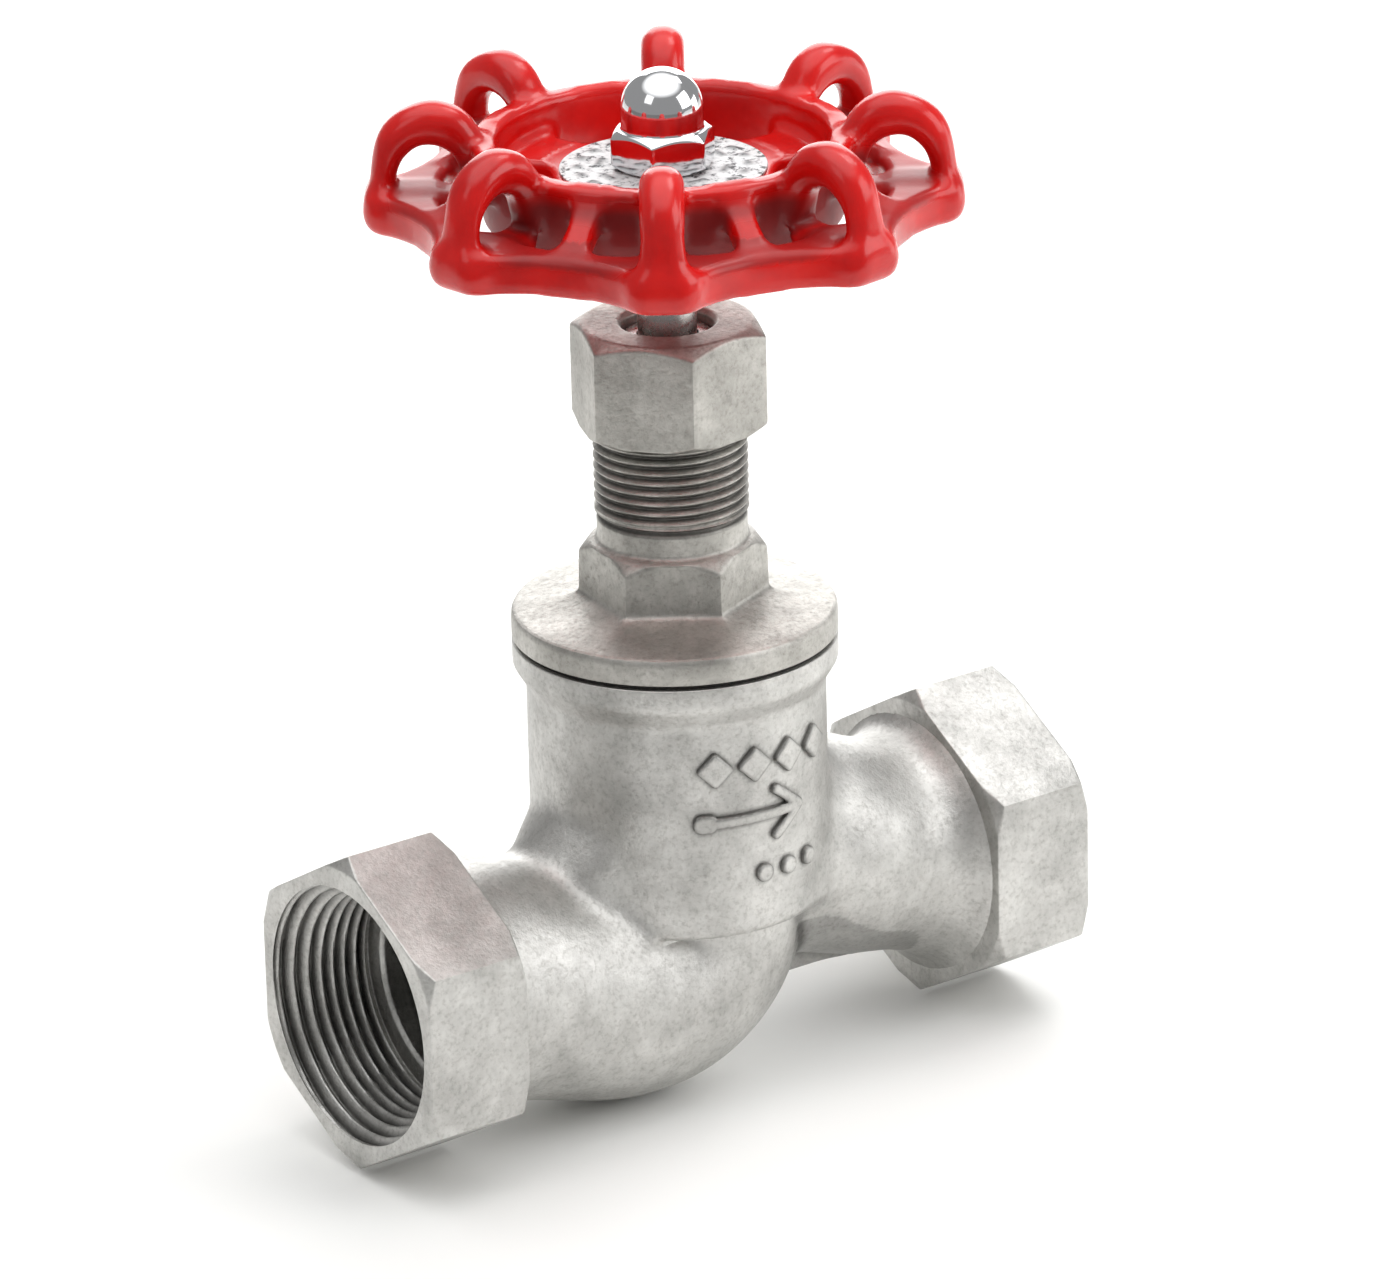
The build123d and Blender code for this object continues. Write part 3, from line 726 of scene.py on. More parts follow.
bonnet_hex = hexagon_radius(28.0, 0.7, BONNET_TURN)
bonnet_rows = [
    row(6.05, BONNET_LOW, 0.2),
    row(CHAMBER_R - 0.1, BONNET_LOW, 0.4),
    row(CHAMBER_R - 0.1, FLANGE_BOTTOM, 0.2),
    row(COLLAR_R, FLANGE_BOTTOM, 0.35),
    row(COLLAR_R, FLANGE_TOP - 0.2, 1.3),
    row(COLLAR_R - 1.6, FLANGE_TOP + 0.15, 1.2),
    row(bonnet_hex + 2.0, HEX_BOTTOM - 0.25, 1.2),
    row(bonnet_hex + 0.15, HEX_BOTTOM + 0.6, 0.8),
    row(bonnet_hex, HEX_TOP - 0.5 - np.maximum(bonnet_hex - 14.2, 0) * CHAMFER * 1.5, 0.6),
    row(14.25, HEX_TOP - 0.3, 0.8),
    row(NECK_THREAD_R - 0.35, HEX_TOP + 0.4, 0.6),
    row(NECK_THREAD_R - 0.3, HEX_TOP + 4.2, 0.4),
    row(NECK_THREAD_R - 0.9, HEX_TOP + 4.8, 0.3),
    row(NECK_THREAD_R - 0.9, HEX_TOP + 5.2, 0.3),
]
bonnet_rows += thread_rows(NECK_THREAD_R, 0.85, 1.814, NECK_THREAD_START, BONNET_HIGH - 6, 12, 0.4)
bonnet_rows += [
    row(NECK_THREAD_R - 1.0, BONNET_HIGH, 0.3),
    row(9.0, BONNET_HIGH, 0.3),
    row(9.0, HEX_TOP + 2.2, 0.3),
    row(6.05, HEX_TOP + 2.2, 0.3),
]
bonnet = ring_piece("bonnet_casting", bonnet_rows)


def neck_thread_shade(x, y, z):
    """Painted shade in the neck's thread: darker with depth below its crests, and full depth in the hollow
    where it runs out.
    """
    depth = (NECK_THREAD_R - 0.1 - from_stem(x, y)) / 0.6
    return np.where(z > HEX_TOP + 4.0, depth, 0.0)


mark_shade_and_print(bonnet, neck_thread_shade)
print("bonnet:", len(bonnet.data.polygons), "faces")

# %% [markdown]
# ## Gasket, gland nut and follower
# The gasket is a thin ring a little inside the flange, which shows as a dark line. The gland nut
# is a tall hexagon, chamfered on top, with a hole that shows the follower's lip and the stem.

# %% Gasket, gland nut and follower
GLAND_LOW, GLAND_HIGH = heights("gland_nut")
GLAND_TURN = -231.4
GLAND_ROOF = 5.2
GLAND_HOLE_R = 7.8

gasket = ring_piece("gasket_ring", [
    row(CHAMBER_R, BARREL_TOP, 0.1),
    row(COLLAR_R - 0.9, BARREL_TOP, 0.2),
    row(COLLAR_R - 0.9, FLANGE_BOTTOM, 0.2),
    row(CHAMBER_R, FLANGE_BOTTOM, 0.1),
])

gland_rows = [row(NECK_THREAD_R + 0.1, GLAND_LOW, 0.3)]
gland_rows += hexagon_rows(30.0, GLAND_LOW, GLAND_HIGH, 15.3, 14.4, GLAND_TURN, 0.7, 0.5)
gland_rows += [
    row(GLAND_HOLE_R + 0.8, GLAND_HIGH, 0.3),
    row(GLAND_HOLE_R, GLAND_HIGH - 0.8, 0.3),
    row(GLAND_HOLE_R, GLAND_HIGH - GLAND_ROOF, 0.2),
    row(NECK_THREAD_R + 0.1, GLAND_HIGH - GLAND_ROOF, 0.2),
]
gland_nut = ring_piece("gland_nut_finished", gland_rows)

FOLLOWER_LOW, FOLLOWER_HIGH = heights("gland_follower")
follower = ring_piece("gland_follower_sleeve", [
    row(5.15, FOLLOWER_LOW, 0.2),
    row(8.85, FOLLOWER_LOW, 0.2),
    row(8.85, BONNET_HIGH + 1.5, 0.2),
    row(12.4, BONNET_HIGH + 1.5, 0.3),
    row(12.4, GLAND_HIGH - GLAND_ROOF, 0.2),
    row(7.6, GLAND_HIGH - GLAND_ROOF, 0.2),
    row(7.6, FOLLOWER_HIGH, 0.5),
    row(5.15, FOLLOWER_HIGH, 0.3),
])

print("gland nut:", len(gland_nut.data.polygons), "faces; follower:", len(follower.data.polygons))

# %% [markdown]
# ## Stem
# The stem is turned bar: a foot that swivels in the disc, a lifting thread inside the
# bonnet, a smooth length through the packing, and a short thread on top for the cap nut.

# %% Stem
STEM_LOW, STEM_HIGH = heights("stem")
HUB_LOW, LOBE_TOP = heights("handwheel")
HUB_HIGH, PLATE_TOP = heights("nameplate")
LIFT_LOW, LIFT_HIGH = 39.0, 61.0
stem_rows = [
    row(1.0, STEM_LOW),
    row(7.6, STEM_LOW, 0.4),
    row(7.6, STEM_LOW + 4, 0.4),
    row(5.4, STEM_LOW + 4, 0.3),
    row(5.4, LIFT_LOW, 0.3),
    row(6.0, LIFT_LOW + 0.6, 0.0),
]
stem_rows += thread_rows(6.0, 0.9, 3.0, LIFT_LOW + 0.8, LIFT_HIGH - 0.4, 10, 0.5)
stem_rows += [
    row(6.0, LIFT_HIGH, 0.2),
    row(5.0, LIFT_HIGH, 0.2),
    row(5.0, HUB_HIGH - 0.5, 0.3),
    row(4.0, HUB_HIGH - 0.5, 0.2),
]
stem_rows += thread_rows(4.0, 0.5, 1.25, HUB_HIGH, STEM_HIGH - 1, 8, 0.5)
stem_rows += [row(3.4, STEM_HIGH, 0.2), row(0.6, STEM_HIGH)]
stem = shade(turned("stem_bar", stem_rows, stem_centre))
print("stem:", len(stem.data.polygons), "faces")

# %% [markdown]
# ## Handwheel
# The wheel is die-cast and dipped in red enamel, so nothing on it is sharp. Eight loops
# stand on a scalloped rim and come down on an inner ring, with a slanted post between each
# pair, and three broad spokes hold the hub. One loop could be modelled and copied round, but
# the joins would show; folding the angle into one eighth of a turn repeats the field itself,
# and every join is filled by the smooth minimum.

# %% Handwheel
LOBES = 8
LOBE_TURN = -126.1
SPOKES = 3
WHEEL_R = 49.5
RIM_LOW = HUB_LOW + 4.4
RIM_HIGH = RIM_LOW + 6.8
RIM_INNER_R = 37.8
RING_R = 29.9
RING_TOP = HUB_LOW + 19.7
RING_LOW = HUB_LOW + 5.2
PLATE_LOW = HUB_HIGH - 4.0


def spline_loop(corners, per_side=12):
    """A closed curve through points, each side a Catmull-Rom cubic."""
    p = np.array(corners, float)
    share = np.linspace(0, 1, per_side, endpoint=False)[:, None, None]
    a, b, c, d = np.roll(p, 1, 0), p, np.roll(p, -1, 0), np.roll(p, -2, 0)
    curve = 2 * b + (c - a) * share + (2 * a - 5 * b + 4 * c - d) * share**2
    curve = 0.5 * (curve + (3 * b - a - 3 * c + d) * share**3)
    return curve.transpose(1, 0, 2).reshape(-1, 2)


lobe_outer = spline_loop([
    (WHEEL_R + 0.0, RIM_LOW + 2.0), (WHEEL_R - 0.3, RIM_LOW + 8.0), (47.9, HUB_LOW + 19.8),
    (44.6, HUB_LOW + 24.1), (39.1, LOBE_TOP - 0.1), (34.0, HUB_LOW + 24.9), (30.6, HUB_LOW + 21.0),
    (29.4, HUB_LOW + 16.0), (34.0, HUB_LOW + 8.0), (42.0, RIM_LOW + 0.4),
])
lobe_hole = spline_loop([
    (44.6, RIM_HIGH + 0.2), (44.5, RIM_HIGH + 3.0), (43.2, RIM_HIGH + 5.6), (40.6, RIM_HIGH + 7.5),
    (37.6, RIM_HIGH + 7.4), (35.2, RIM_HIGH + 5.8), (33.9, RIM_HIGH + 3.0), (33.2, RIM_HIGH + 0.2),
    (37.0, RIM_HIGH - 0.2), (41.0, RIM_HIGH - 0.2),
])


def lobe_table():
    """Signed distances to the lobe's outer curve and to its hole on a fine grid of radius and height."""
    u = np.arange(20, 60, 0.25)
    v = np.arange(HUB_LOW - 6, LOBE_TOP + 8, 0.25)
    grid = np.meshgrid(u, v, indexing="ij")
    return u, v, outline_distance(*grid, lobe_outer), outline_distance(*grid, lobe_hole)


LOBE_U, LOBE_V, LOBE_OUTER, LOBE_HOLE = lobe_table()


def read_table(table, u, v):
    """Bilinear reading of a table of radius and height."""
    i = np.clip((u - LOBE_U[0]) / 0.25, 0, len(LOBE_U) - 1.001)
    j = np.clip((v - LOBE_V[0]) / 0.25, 0, len(LOBE_V) - 1.001)
    i0, j0 = i.astype(int), j.astype(int)
    a, b = i - i0, j - j0
    low = table[i0, j0] * (1 - a) + table[i0 + 1, j0] * a
    high = table[i0, j0 + 1] * (1 - a) + table[i0 + 1, j0 + 1] * a
    return low * (1 - b) + high * b


def folded(x, y, count, turn_degrees):
    """Radial and sideways distance from the nearest of several equal directions round the stem."""
    step = 2 * pi / count
    angle = (np.arctan2(y, x - STEM_X) - radians(turn_degrees) + step / 2) % step - step / 2
    radius = from_stem(x, y)
    return radius * np.cos(angle), radius * np.sin(angle), radius


def round_box(parts, rounding):
    """A box field from its distances past each pair of faces, with rounded edges."""
    parts = [p + rounding for p in parts]
    outside = np.sqrt(sum(np.maximum(p, 0) ** 2 for p in parts))
    deepest = parts[0]
    for p in parts[1:]:
        deepest = np.maximum(deepest, p)
    return outside + np.minimum(deepest, 0) - rounding


def wheel(x, y, z):
    """Rim, ring, posts, lobes, spokes and hub as one field."""
    out, side, radius = folded(x, y, LOBES, LOBE_TURN)
    # the rim is hollowed between the tips by circles that stand outside it
    far = 69.4
    far_out, far_side = far * cos(pi / LOBES), far * sin(pi / LOBES)
    hollow = 26.3 - np.sqrt((out - far_out) ** 2 + (np.abs(side) - far_side) ** 2)
    plan = smooth_max(smooth_max(out - WHEEL_R, hollow, 2.0), RIM_INNER_R - radius, 1.0)
    rim_middle = (RIM_LOW + RIM_HIGH) / 2
    rim = round_box([plan, np.abs(z - rim_middle) - (RIM_HIGH - RIM_LOW) / 2], 1.7)
    lean = np.clip((RING_TOP - z) / (RING_TOP - RING_LOW), 0, 1)
    ring_r = RING_R + 0.3 - 1.5 * lean
    ring_width = 1.6 + 0.7 * (1 - lean) ** 3
    ring_height = np.abs(z - (RING_TOP + RING_LOW) / 2) - (RING_TOP - RING_LOW) / 2
    ring = round_box([np.abs(radius - ring_r) - ring_width, ring_height], 1.4)
    band = smooth_max(read_table(LOBE_OUTER, out, z), -read_table(LOBE_HOLE, out, z), 1.0)
    foot = np.clip((RIM_HIGH + 7.0 - z) / 10.0, 0, 1)
    lobe = round_box([band, np.abs(side) - 3.75 - 1.9 * foot * foot], 3.3)
    # posts: a slanted slab in the radial plane, narrow in the middle
    post_out, post_side, _ = folded(x, y, LOBES, LOBE_TURN + 180 / LOBES)
    along = (post_out - RING_R) / (41.5 - RING_R)
    line_z = (RING_TOP - 3.0) + (RIM_HIGH - 3.4 - RING_TOP + 3.0) * along
    post_width = 2.4 + 1.6 * (np.clip(along, 0, 1) * 2 - 1) ** 2
    post = round_box([
        np.abs(z - line_z) * 0.8 - 2.0, np.abs(post_side) - post_width, np.abs(along - 0.5) * 11.6 - 6.5,
    ], 1.2)
    spoke_out, spoke_side, _ = folded(x, y, SPOKES, LOBE_TURN)
    spoke = round_box([
        np.abs(spoke_side) - 6.5 - 0.14 * np.maximum(spoke_out - 19, 0),
        np.abs(z - (PLATE_LOW + HUB_HIGH) / 2) - 2.0,
        np.abs(spoke_out - 20) - 9.5,
    ], 1.0)
    plate = round_box([radius - 18.6, np.abs(z - (PLATE_LOW + HUB_HIGH) / 2) - 2.0], 0.8)
    hub_height = np.abs(z - (HUB_LOW + HUB_HIGH) / 2) - (HUB_HIGH - HUB_LOW) / 2
    hub = round_box([radius - 11.0, hub_height], 0.8)
    field = smooth_min(rim, lobe, 2.6)
    field = smooth_min(field, post, 1.8)
    field = smooth_min(field, ring, 2.0)
    middle = smooth_min(smooth_min(plate, spoke, 4.0), hub, 2.0)
    # faced flat where the nameplate lies
    middle = np.maximum(middle, np.where(radius < 21, z - HUB_HIGH + 0.05, z - HUB_HIGH - 1.0))
    field = smooth_min(field, middle, 3.0)
    bore = np.maximum(np.abs(x - STEM_X), np.abs(y)) - 4.1
    return np.maximum(field, -bore)


handwheel = cast(
    "handwheel_casting", wheel,
    (STEM_X - WHEEL_R - 1, -WHEEL_R - 1, HUB_LOW), (STEM_X + WHEEL_R + 1, WHEEL_R + 1, LOBE_TOP),
    0.8,
)
shade(handwheel, 60)


def wheel_painted_shade(x, y, z):
    """Painted shade on the outer wall of the inner ring and under the plate, and at six tenths on the rim's
    top inside the loops.
    """
    radius = from_stem(x, y)
    wall = ease(radius, 29.3, 30.0) * (1 - ease(radius, 33.0, 36.0))
    wall = wall * (1 - ease(z, RING_TOP - 4.5, RING_TOP - 1.5))
    under = (1 - ease(radius, 26.0, 30.0)) * (1 - ease(z, PLATE_LOW - 1.0, PLATE_LOW + 1.0))
    tread = ease(radius, 34.0, 37.0) * (1 - ease(radius, 44.0, 47.0)) * (np.abs(z - RIM_HIGH) < 1.6)
    return np.maximum(np.maximum(wall, under), 0.6 * tread)


mark_shade_and_print(handwheel, wheel_painted_shade)

# %% [markdown]
# ## Nameplate and cap nut
# A thin stamped disc lies on the hub under a chromed acorn nut. The real plate is stamped
# with marks; here they are plain dots and arcs round it that say nothing.

# %% Nameplate
PLATE_R = 17.5
theta = angles()
plate_rows = [row(5.1, HUB_HIGH, 0.05), row(PLATE_R, HUB_HIGH, 0.2), row(PLATE_R, PLATE_TOP - 0.3, 0.15)]


def stamped(radius, theta):
    """Two rings of dots and arcs: a bell along the radius times a clipped wave round the turn."""
    outer_ring = np.exp(-(((radius - 14.3) / 0.9) ** 2)) * np.clip(np.cos(theta * 20) * 3, 0, 1)
    inner_ring = np.exp(-(((radius - 10.9) / 0.7) ** 2)) * np.clip(np.cos(theta * 8 + 0.6) * 3, 0, 1)
    return np.maximum(outer_ring, inner_ring)


for radius in np.arange(PLATE_R - 0.5, 8.5, -0.3):
    plate_rows.append(row(radius, PLATE_TOP - 0.32 + 0.3 * stamped(radius, theta)))
plate_rows.append(row(5.1, PLATE_TOP - 0.3, 0.05))
nameplate = ring_piece("nameplate_disc", plate_rows)
mark_shade_and_print(nameplate, lambda x, y, z: 0.75 * stamped(from_stem(x, y), np.arctan2(y, x - STEM_X)))
print("nameplate:", len(nameplate.data.polygons), "faces")

# %% Cap nut
CAP_HIGH = heights("cap_nut")[1]
CAP_TURN = -17.0
CAP_HEX_TOP = PLATE_TOP + 6.5
DOME_R = 7.0
DOME_Z = CAP_HIGH - DOME_R
cap_rows = [row(4.2, PLATE_TOP, 0.2)]
cap_rows += hexagon_rows(16.0, PLATE_TOP, CAP_HEX_TOP, 8.0, 7.5, CAP_TURN, 0.35, 0.3)
cap_rows += [row(DOME_R + 0.1, CAP_HEX_TOP, 0.25), row(DOME_R, CAP_HEX_TOP + 0.5, 0.2)]
for angle in np.linspace(0, pi / 2 - 0.06, 24):
    cap_rows.append(row(DOME_R * cos(angle), DOME_Z + DOME_R * sin(angle)))
cap_rows.append(row(0.05, CAP_HIGH))
inner_rows = [row(4.1, STEM_HIGH + 0.6, 0.3), row(4.1, PLATE_TOP + 0.4, 0.2)]
inner_rows.insert(0, row(0.5, STEM_HIGH + 0.9))
cap_nut = shade(turned("cap_nut_acorn", inner_rows + cap_rows, stem_centre))
print("cap nut:", len(cap_nut.data.polygons), "faces")

# %% [markdown]
# ## Materials
# Colours are written as the hex values that a paint card or a picture editor shows, and one
# function turns them to the linear values that Blender's shaders work in. Each finish
# starts from the real material, and its pattern is as large as the real grain in millimetres.

# %% Material helpers


def colour(code):
    """An sRGB hex code as linear red, green, blue and alpha."""
    parts = np.array([int(code[i:i + 2], 16) for i in (0, 2, 4)]) / 255
    linear = np.where(parts <= 0.04045, parts / 12.92, ((parts + 0.055) / 1.055) ** 2.4)
    return (*[float(part) for part in linear], 1.0)


def add_node(tree, kind, settings=None, links=None):
    """Add a shader node, set its sockets or properties, and link sockets to (node, output) pairs."""
    node = tree.nodes.new(kind)
    for key, value in (settings or {}).items():
        if isinstance(key, int) or key in node.inputs:
            node.inputs[key].default_value = value
        else:
            setattr(node, key, value)
    for key, (source, output) in (links or {}).items():
        tree.links.new(source.outputs[output], node.inputs[key])
    return node


def new_material(name, settings):
    """A material with one Principled shader, and the Object coordinates that its patterns read."""
    material = bpy.data.materials.new(name)
    material.use_nodes = True
    tree = material.node_tree
    shader = tree.nodes["Principled BSDF"]
    for key, value in settings.items():
        shader.inputs[key].default_value = value
    place = add_node(tree, "ShaderNodeTexCoord")
    return material, tree, shader, place


def noise(tree, place, grain_mm, detail, roughness):
    """Noise whose largest features are about this many millimetres across."""
    return add_node(tree, "ShaderNodeTexNoise", {
        "Scale": 1.0 / (grain_mm * MM), "Detail": detail, "Roughness": roughness,
    }, {"Vector": (place, "Object")})


def ramp(tree, source, stops, output="Fac"):
    """A colour ramp through (position, hex) stops."""
    node = add_node(tree, "ShaderNodeValToRGB", {}, {"Fac": (source, output)})
    while len(node.color_ramp.elements) < len(stops):
        node.color_ramp.elements.new(0.5)
    for element, (position, code) in zip(node.color_ramp.elements, stops):
        element.position = position
        element.color = colour(code)
    return node


def span(tree, source, output, low, high, to_low, to_high):
    """Map a value from one range to another."""
    return add_node(tree, "ShaderNodeMapRange", {
        "From Min": low, "From Max": high, "To Min": to_low, "To Max": to_high,
    }, {"Value": (source, output)})


def bump(tree, shader, source, depth_mm, strength, after=None):
    """Surface relief of a real depth, added to the relief of an earlier bump."""
    links = {"Height": (source, "Fac")}
    if after:
        links["Normal"] = (after, "Normal")
    node = add_node(tree, "ShaderNodeBump", {"Distance": depth_mm * MM, "Strength": strength}, links)
    tree.links.new(node.outputs["Normal"], shader.inputs["Normal"])
    return node


def mix_shade_and_print(tree, shader, tone, output, code, reach):
    """Mix a dark colour over a tone by the piece's attribute of painted shade and print, whose reach is
    given as span wants it.
    """
    grime = add_node(tree, "ShaderNodeAttribute", {"attribute_name": "grime"})
    share = span(tree, grime, "Fac", *reach)
    darkened = add_node(tree, "ShaderNodeMix", {"data_type": "RGBA", 7: colour(code)},
                     {0: (share, "Result"), 6: (tone, output)})
    tree.links.new(darkened.outputs[2], shader.inputs["Base Color"])
    return grime


def follow(tree, shader, source, *reach):
    """Roughness that follows a value, whose reach is given as span wants it."""
    rough = span(tree, source, "Fac", *reach)
    tree.links.new(rough.outputs["Result"], shader.inputs["Roughness"])


print("mid grey 808080 is", round(colour("808080")[0], 3), "in linear light")

# %% [markdown]
# ## Metals
# Most of the valve is investment-cast stainless, bead blasted to a satin. A flat grey would look
# like plastic: the eye reads the metal from its grain, its pits and the darker hollows, here a
# painted shade. The stem is turned bar, with rings from the tool, and the cap nut is chromed.

# %% Metals


def blasted(name, tones, roughness, pit_mm):
    """Investment-cast stainless, bead blasted.

    The blasting leaves a satin grain under a millimetre across, over the slow waves of the wax
    pattern and some pits; handling leaves faint grey clouds.
    """
    material, tree, shader, place = new_material(name, {"Metallic": 1.0, "Roughness": roughness})
    clouds = noise(tree, place, 11, 6, 0.68)
    tone = ramp(tree, clouds, list(zip((0.34, 0.52, 0.68), tones)))
    specks = noise(tree, place, 0.9, 4, 0.7)
    shade_of_specks = ramp(tree, specks, [(0.3, "C9C8C5"), (0.5, "F8F8F7"), (1.0, "FFFFFF")])
    speckled = add_node(tree, "ShaderNodeMix", {"data_type": "RGBA", "blend_type": "MULTIPLY", 0: 0.55},
                        {6: (tone, "Color"), 7: (shade_of_specks, "Color")})
    # painted shade: the attribute darkens the metal towards a dark grey in threads, bores and creases
    mix_shade_and_print(tree, shader, speckled, 2, "3A3835", (0.1, 0.9, 0.0, 0.78))
    follow(tree, shader, specks, 0.3, 0.7, roughness + 0.08, roughness - 0.06)
    grain = noise(tree, place, 0.55, 3, 0.6)
    pits = bump(tree, shader, specks, pit_mm, 0.7)
    fine = bump(tree, shader, grain, 0.06, 0.7, pits)
    waves = noise(tree, place, 7, 3, 0.5)
    bump(tree, shader, waves, 0.5, 0.5, fine)
    return material


def turned_stainless():
    """Turned bar: bright, with fine rings left by the lathe tool."""
    material, tree, shader, place = new_material("turned_stainless", {
        "Metallic": 1.0, "Roughness": 0.28, "Base Color": colour("C9C8C6"), "Anisotropic": 0.3,
    })
    rings = add_node(tree, "ShaderNodeTexWave", {
        "wave_type": "BANDS", "bands_direction": "Z", "Scale": 1.0 / (1.6 * MM) / 20 * pi, "Distortion": 0.3,
    }, {"Vector": (place, "Object")})
    bump(tree, shader, rings, 0.02, 0.4)
    grain = noise(tree, place, 1.2, 3, 0.6)
    follow(tree, shader, grain, 0.3, 0.7, 0.22, 0.34)
    return material


def chrome():
    """Bright nickel-chrome plate."""
    material, tree, shader, place = new_material("chrome_plate", {
        "Metallic": 1.0, "Base Color": colour("E3E4E6"),
    })
    haze = noise(tree, place, 3, 3, 0.6)
    follow(tree, shader, haze, 0.3, 0.7, 0.05, 0.1)
    return material


metals = {
    "cast_stainless": blasted("blasted_cast_stainless", ("B4B3B0", "C9C8C5", "DAD9D6"), 0.47, 0.14),
    "machined_casting": blasted("machined_cast_stainless", ("A3A19C", "BAB8B3", "CFCDC8"), 0.47, 0.12),
    "turned_stainless": turned_stainless(),
    "chrome": chrome(),
}
print("metals:", ", ".join(metals))

# %% [markdown]
# ## Enamel, lacquer and seals
# The wheel is dipped in thick red enamel, which is glossy; in its hollows and under its plate it is
# dull and dark, which is painted shade. The plate is lacquered sheet, and the seals are fibre and PTFE. None
# needs more than one noise at its real grain, because the shapes carry most of their look.

# %% Enamel, lacquer and seals
def red_enamel():
    """Dipped enamel on a die casting: deep glossy red that follows a slightly wavy metal."""
    material, tree, shader, place = new_material("dipped_red_enamel", {
        "Coat Weight": 0.2, "Coat Roughness": 0.08, "Specular IOR Level": 0.4, "IOR": 1.5,
    })
    clouds = noise(tree, place, 12, 4, 0.6)
    tone = ramp(tree, clouds, [(0.3, "BC0A09"), (0.55, "D50F0C"), (0.8, "E21A12")])
    # painted shade: the attribute darkens the red towards a dark maroon, and makes it matt, in the wheel's
    # hollows and under its plate
    grime = mix_shade_and_print(tree, shader, tone, "Color", "4A0A0D", (0.0, 1.0, 0.0, 0.72))
    follow(tree, shader, grime, 0.0, 1.0, 0.25, 0.6)
    waves = noise(tree, place, 5, 3, 0.5)
    bump(tree, shader, waves, 0.25, 0.5)
    return material


def stamped_aluminium():
    """Pressed aluminium under a chalky lacquer: matt and pale, dark where it wore through."""
    material, tree, shader, place = new_material("lacquered_aluminium", {
        "Metallic": 0.3, "Roughness": 0.5,
    })
    specks = noise(tree, place, 1.5, 4, 0.7)
    tone = ramp(tree, specks, [(0.40, "3B3C3E"), (0.45, "C9CACB"), (0.6, "E2E3E3")])
    mix_shade_and_print(tree, shader, tone, "Color", "3B3C3E", (0.0, 1.0, 0.0, 1.0))
    bump(tree, shader, specks, 0.06, 0.6)
    return material


def pressed_fibre():
    """Dark pressed-fibre gasket sheet."""
    material, tree, shader, place = new_material("pressed_fibre", {"Roughness": 0.8})
    fibres = noise(tree, place, 0.6, 4, 0.7)
    tone = ramp(tree, fibres, [(0.35, "1C1B1A"), (0.7, "35322F")])
    tree.links.new(tone.outputs["Color"], shader.inputs["Base Color"])
    return material


def ptfe():
    """Skived PTFE: waxy white, slightly translucent."""
    material, tree, shader, place = new_material("ptfe", {"Roughness": 0.45, "IOR": 1.38})
    clouds = noise(tree, place, 3, 3, 0.5)
    tone = ramp(tree, clouds, [(0.3, "E2E1DC"), (0.7, "F1F0EC")])
    tree.links.new(tone.outputs["Color"], shader.inputs["Base Color"])
    return material


finishes = {
    **metals,
    "red_enamel": red_enamel(),
    "nameplate": stamped_aluminium(),
    "gasket": pressed_fibre(),
    "ptfe": ptfe(),
}
print("finishes:", ", ".join(finishes))

# %% [markdown]
# ## Pieces take their places
# Each new piece hides the plain CAD node that it stands for and rides on that node's body.
# The CAD nodes that stay, all of them inside the valve, get the same finishes.

# %% Assign finishes and bodies
new_pieces = [
    (body, "valve_body", "casing", "cast_stainless"),
    (bonnet, "bonnet", "casing", "machined_casting"),
    (gasket, "bonnet_gasket", "casing", "gasket"),
    (gland_nut, "gland_nut", "casing", "machined_casting"),
    (follower, "gland_follower", "casing", "turned_stainless"),
    (stem, "stem", "spindle", "turned_stainless"),
    (handwheel, "handwheel", "spindle", "red_enamel"),
    (nameplate, "nameplate", "spindle", "nameplate"),
    (cap_nut, "cap_nut", "spindle", "chrome"),
]
replaced = set()
for piece, node, carrier, finish in new_pieces:
    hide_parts(node)
    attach(piece, carrier)
    piece.data.materials.clear()
    piece.data.materials.append(finishes[finish])
    replaced.add(node)

slot_of = {part["node"]: part["material_slot"] for part in frame["record"]["subparts"]}
for node, piece in frame["nodes"].items():
    if node in replaced:
        continue
    for slot in piece.material_slots:
        slot.material = finishes[slot_of[node]]
print("pieces made:", len(new_pieces), "CAD nodes kept:", len(frame["nodes"]) - len(replaced))

# %% [markdown]
# ## Camera, floor and light
# A long lens far away keeps the valve's lines nearly parallel. The floor and sky are a pale
# studio, and a few large lamps give the metal something to reflect.

# %% Camera
AZIMUTH = -35.7
ELEVATION = 21.34
ROLL = -1.38
DISTANCE = 1.4736
AIM = Vector((STEM_X * MM + 0.0049, 0.0, 0.0496))

around, above = radians(AZIMUTH), radians(ELEVATION)
towards_camera = Vector((sin(around) * cos(above), -cos(around) * cos(above), sin(above)))
camera_data = bpy.data.cameras.new("camera")
camera_data.lens = 221.65
camera_data.sensor_width = 36.0
camera_data.clip_start = 0.05
camera_data.clip_end = 50
camera = bpy.data.objects.new("camera", camera_data)
bpy.context.scene.collection.objects.link(camera)
camera.location = AIM + towards_camera * DISTANCE
facing = towards_camera.to_track_quat("Z", "Y").to_matrix()
camera.rotation_euler = (facing @ Matrix.Rotation(radians(ROLL), 3, "Z")).to_euler()
bpy.context.scene.camera = camera

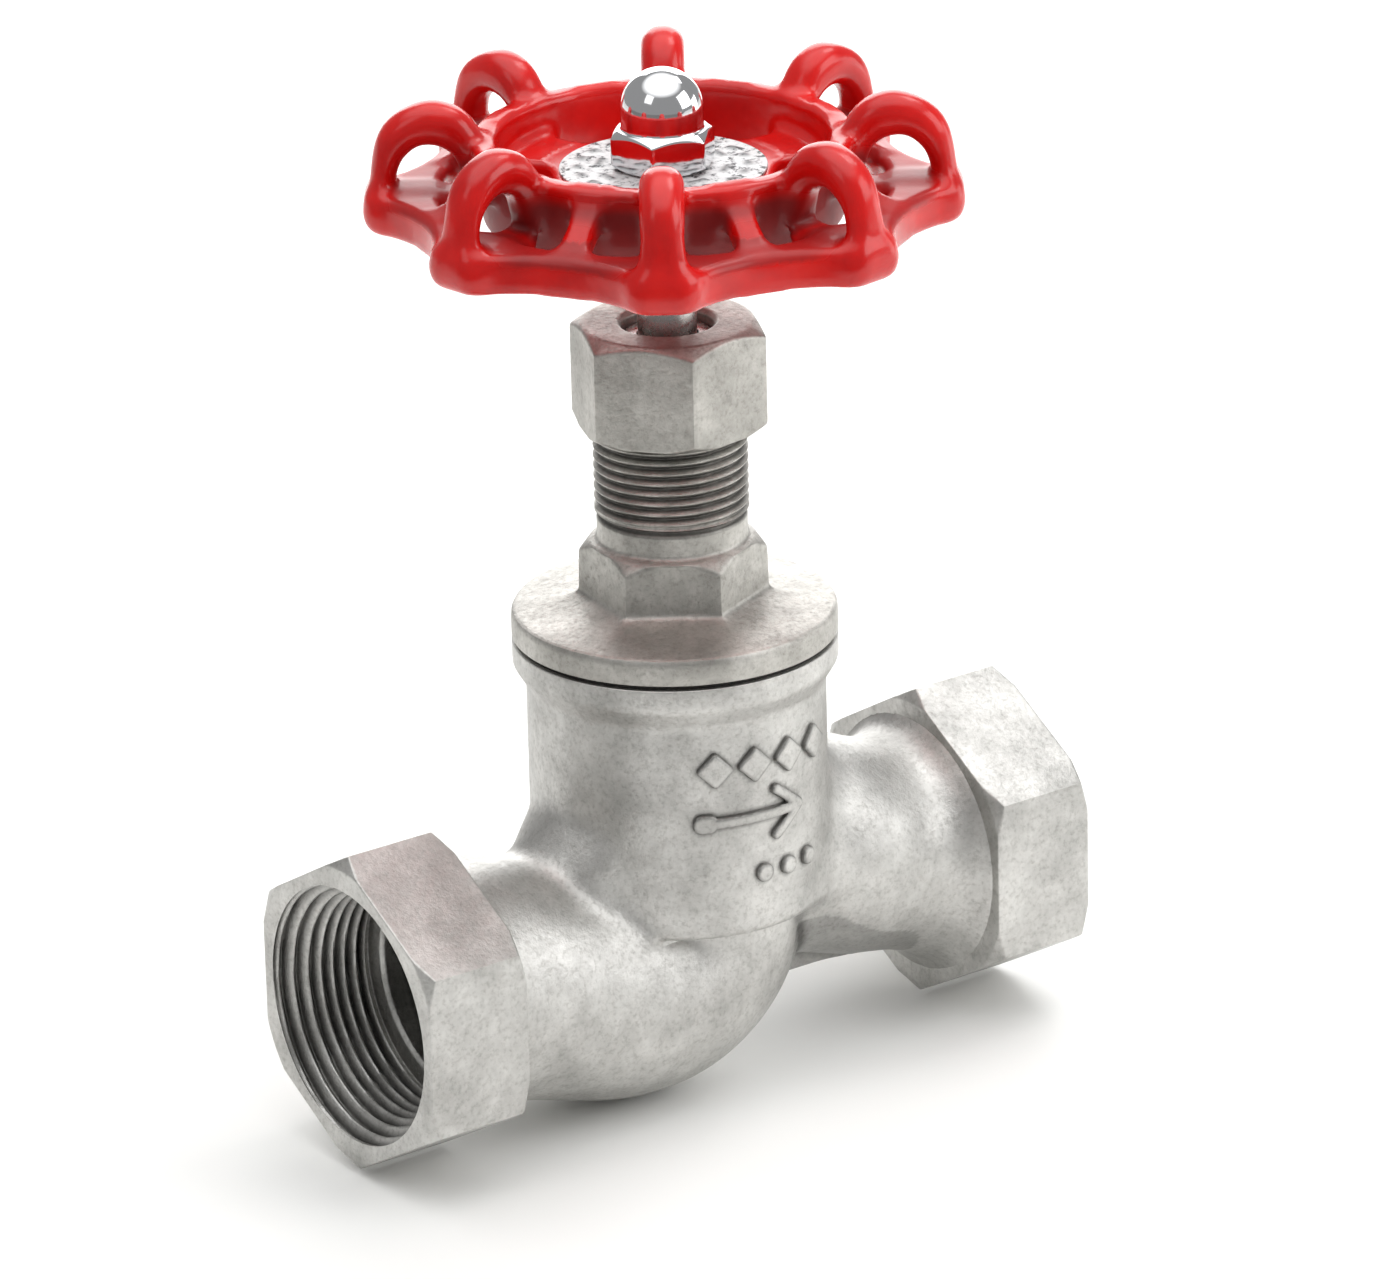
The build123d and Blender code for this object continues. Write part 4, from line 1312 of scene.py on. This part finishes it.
# %% Floor
FLOOR_Z = BODY_LOW * MM - 0.0002
floor_mesh = bpy.data.meshes.new("floor")
floor_mesh.from_pydata(
    [(-4, -4, FLOOR_Z), (4, -4, FLOOR_Z), (4, 4, FLOOR_Z), (-4, 4, FLOOR_Z)], [], [(0, 1, 2, 3)])
floor = bpy.data.objects.new("floor", floor_mesh)
bpy.context.scene.collection.objects.link(floor)
floor_material, floor_tree, floor_shader, floor_place = new_material("graduated_paper", {
    "Roughness": 0.9, "Specular IOR Level": 0.1,
})
# distance towards the camera's left, along which the paper is graduated
across = add_node(floor_tree, "ShaderNodeVectorMath", {"operation": "DOT_PRODUCT", 1: (-0.82, -0.57, 0.0)},
                  {0: (floor_place, "Object")})
shift = span(floor_tree, across, "Value", 0.17, 0.4, 0.0, 1.0)
paper = ramp(floor_tree, shift, [(0.0, "F8F8F6"), (1.0, "7E7E7D")], "Result")
floor_tree.links.new(paper.outputs["Color"], floor_shader.inputs["Base Color"])
floor.data.materials.append(floor_material)

# %% Light
LAMP_TARGET = Vector((STEM_X * MM, 0.0, 0.06))


def lamp(name, place, power, size):
    """A square soft box that faces the valve."""
    data = bpy.data.lights.new(name, "AREA")
    data.energy = power
    data.size = size
    box = bpy.data.objects.new(name, data)
    bpy.context.scene.collection.objects.link(box)
    box.location = place
    box.rotation_euler = (Vector(place) - LAMP_TARGET).to_track_quat("Z", "Y").to_euler()


lamp("right_softbox", (0.64, -0.70, 0.52), 3.3, 0.6)
lamp("right_strip", (1.05, -0.36, 0.16), 1.2, 0.45)
lamp("back_softbox", (0.72, 0.91, 0.46), 7.5, 0.95)
lamp("top_softbox", (0.66, 0.07, 0.95), 1.3, 0.35)
lamp("left_softbox", (-0.75, -0.15, 0.75), 0.6, 0.4)

world = bpy.data.worlds.new("studio")
bpy.context.scene.world = world
world.use_nodes = True
sky = world.node_tree.nodes["Background"]
around_sky = add_node(world.node_tree, "ShaderNodeTexCoord")
parts = add_node(world.node_tree, "ShaderNodeSeparateXYZ", {}, {"Vector": (around_sky, "Generated")})
ceiling = span(world.node_tree, parts, "Z", 0.70, 0.88, 0.34, 2.0)
world.node_tree.links.new(ceiling.outputs["Result"], sky.inputs["Strength"])
sky.inputs["Color"].default_value = colour("FFFFFF")
bpy.context.scene.view_settings.view_transform = "Standard"
print("camera", tuple(round(v, 4) for v in camera.location))
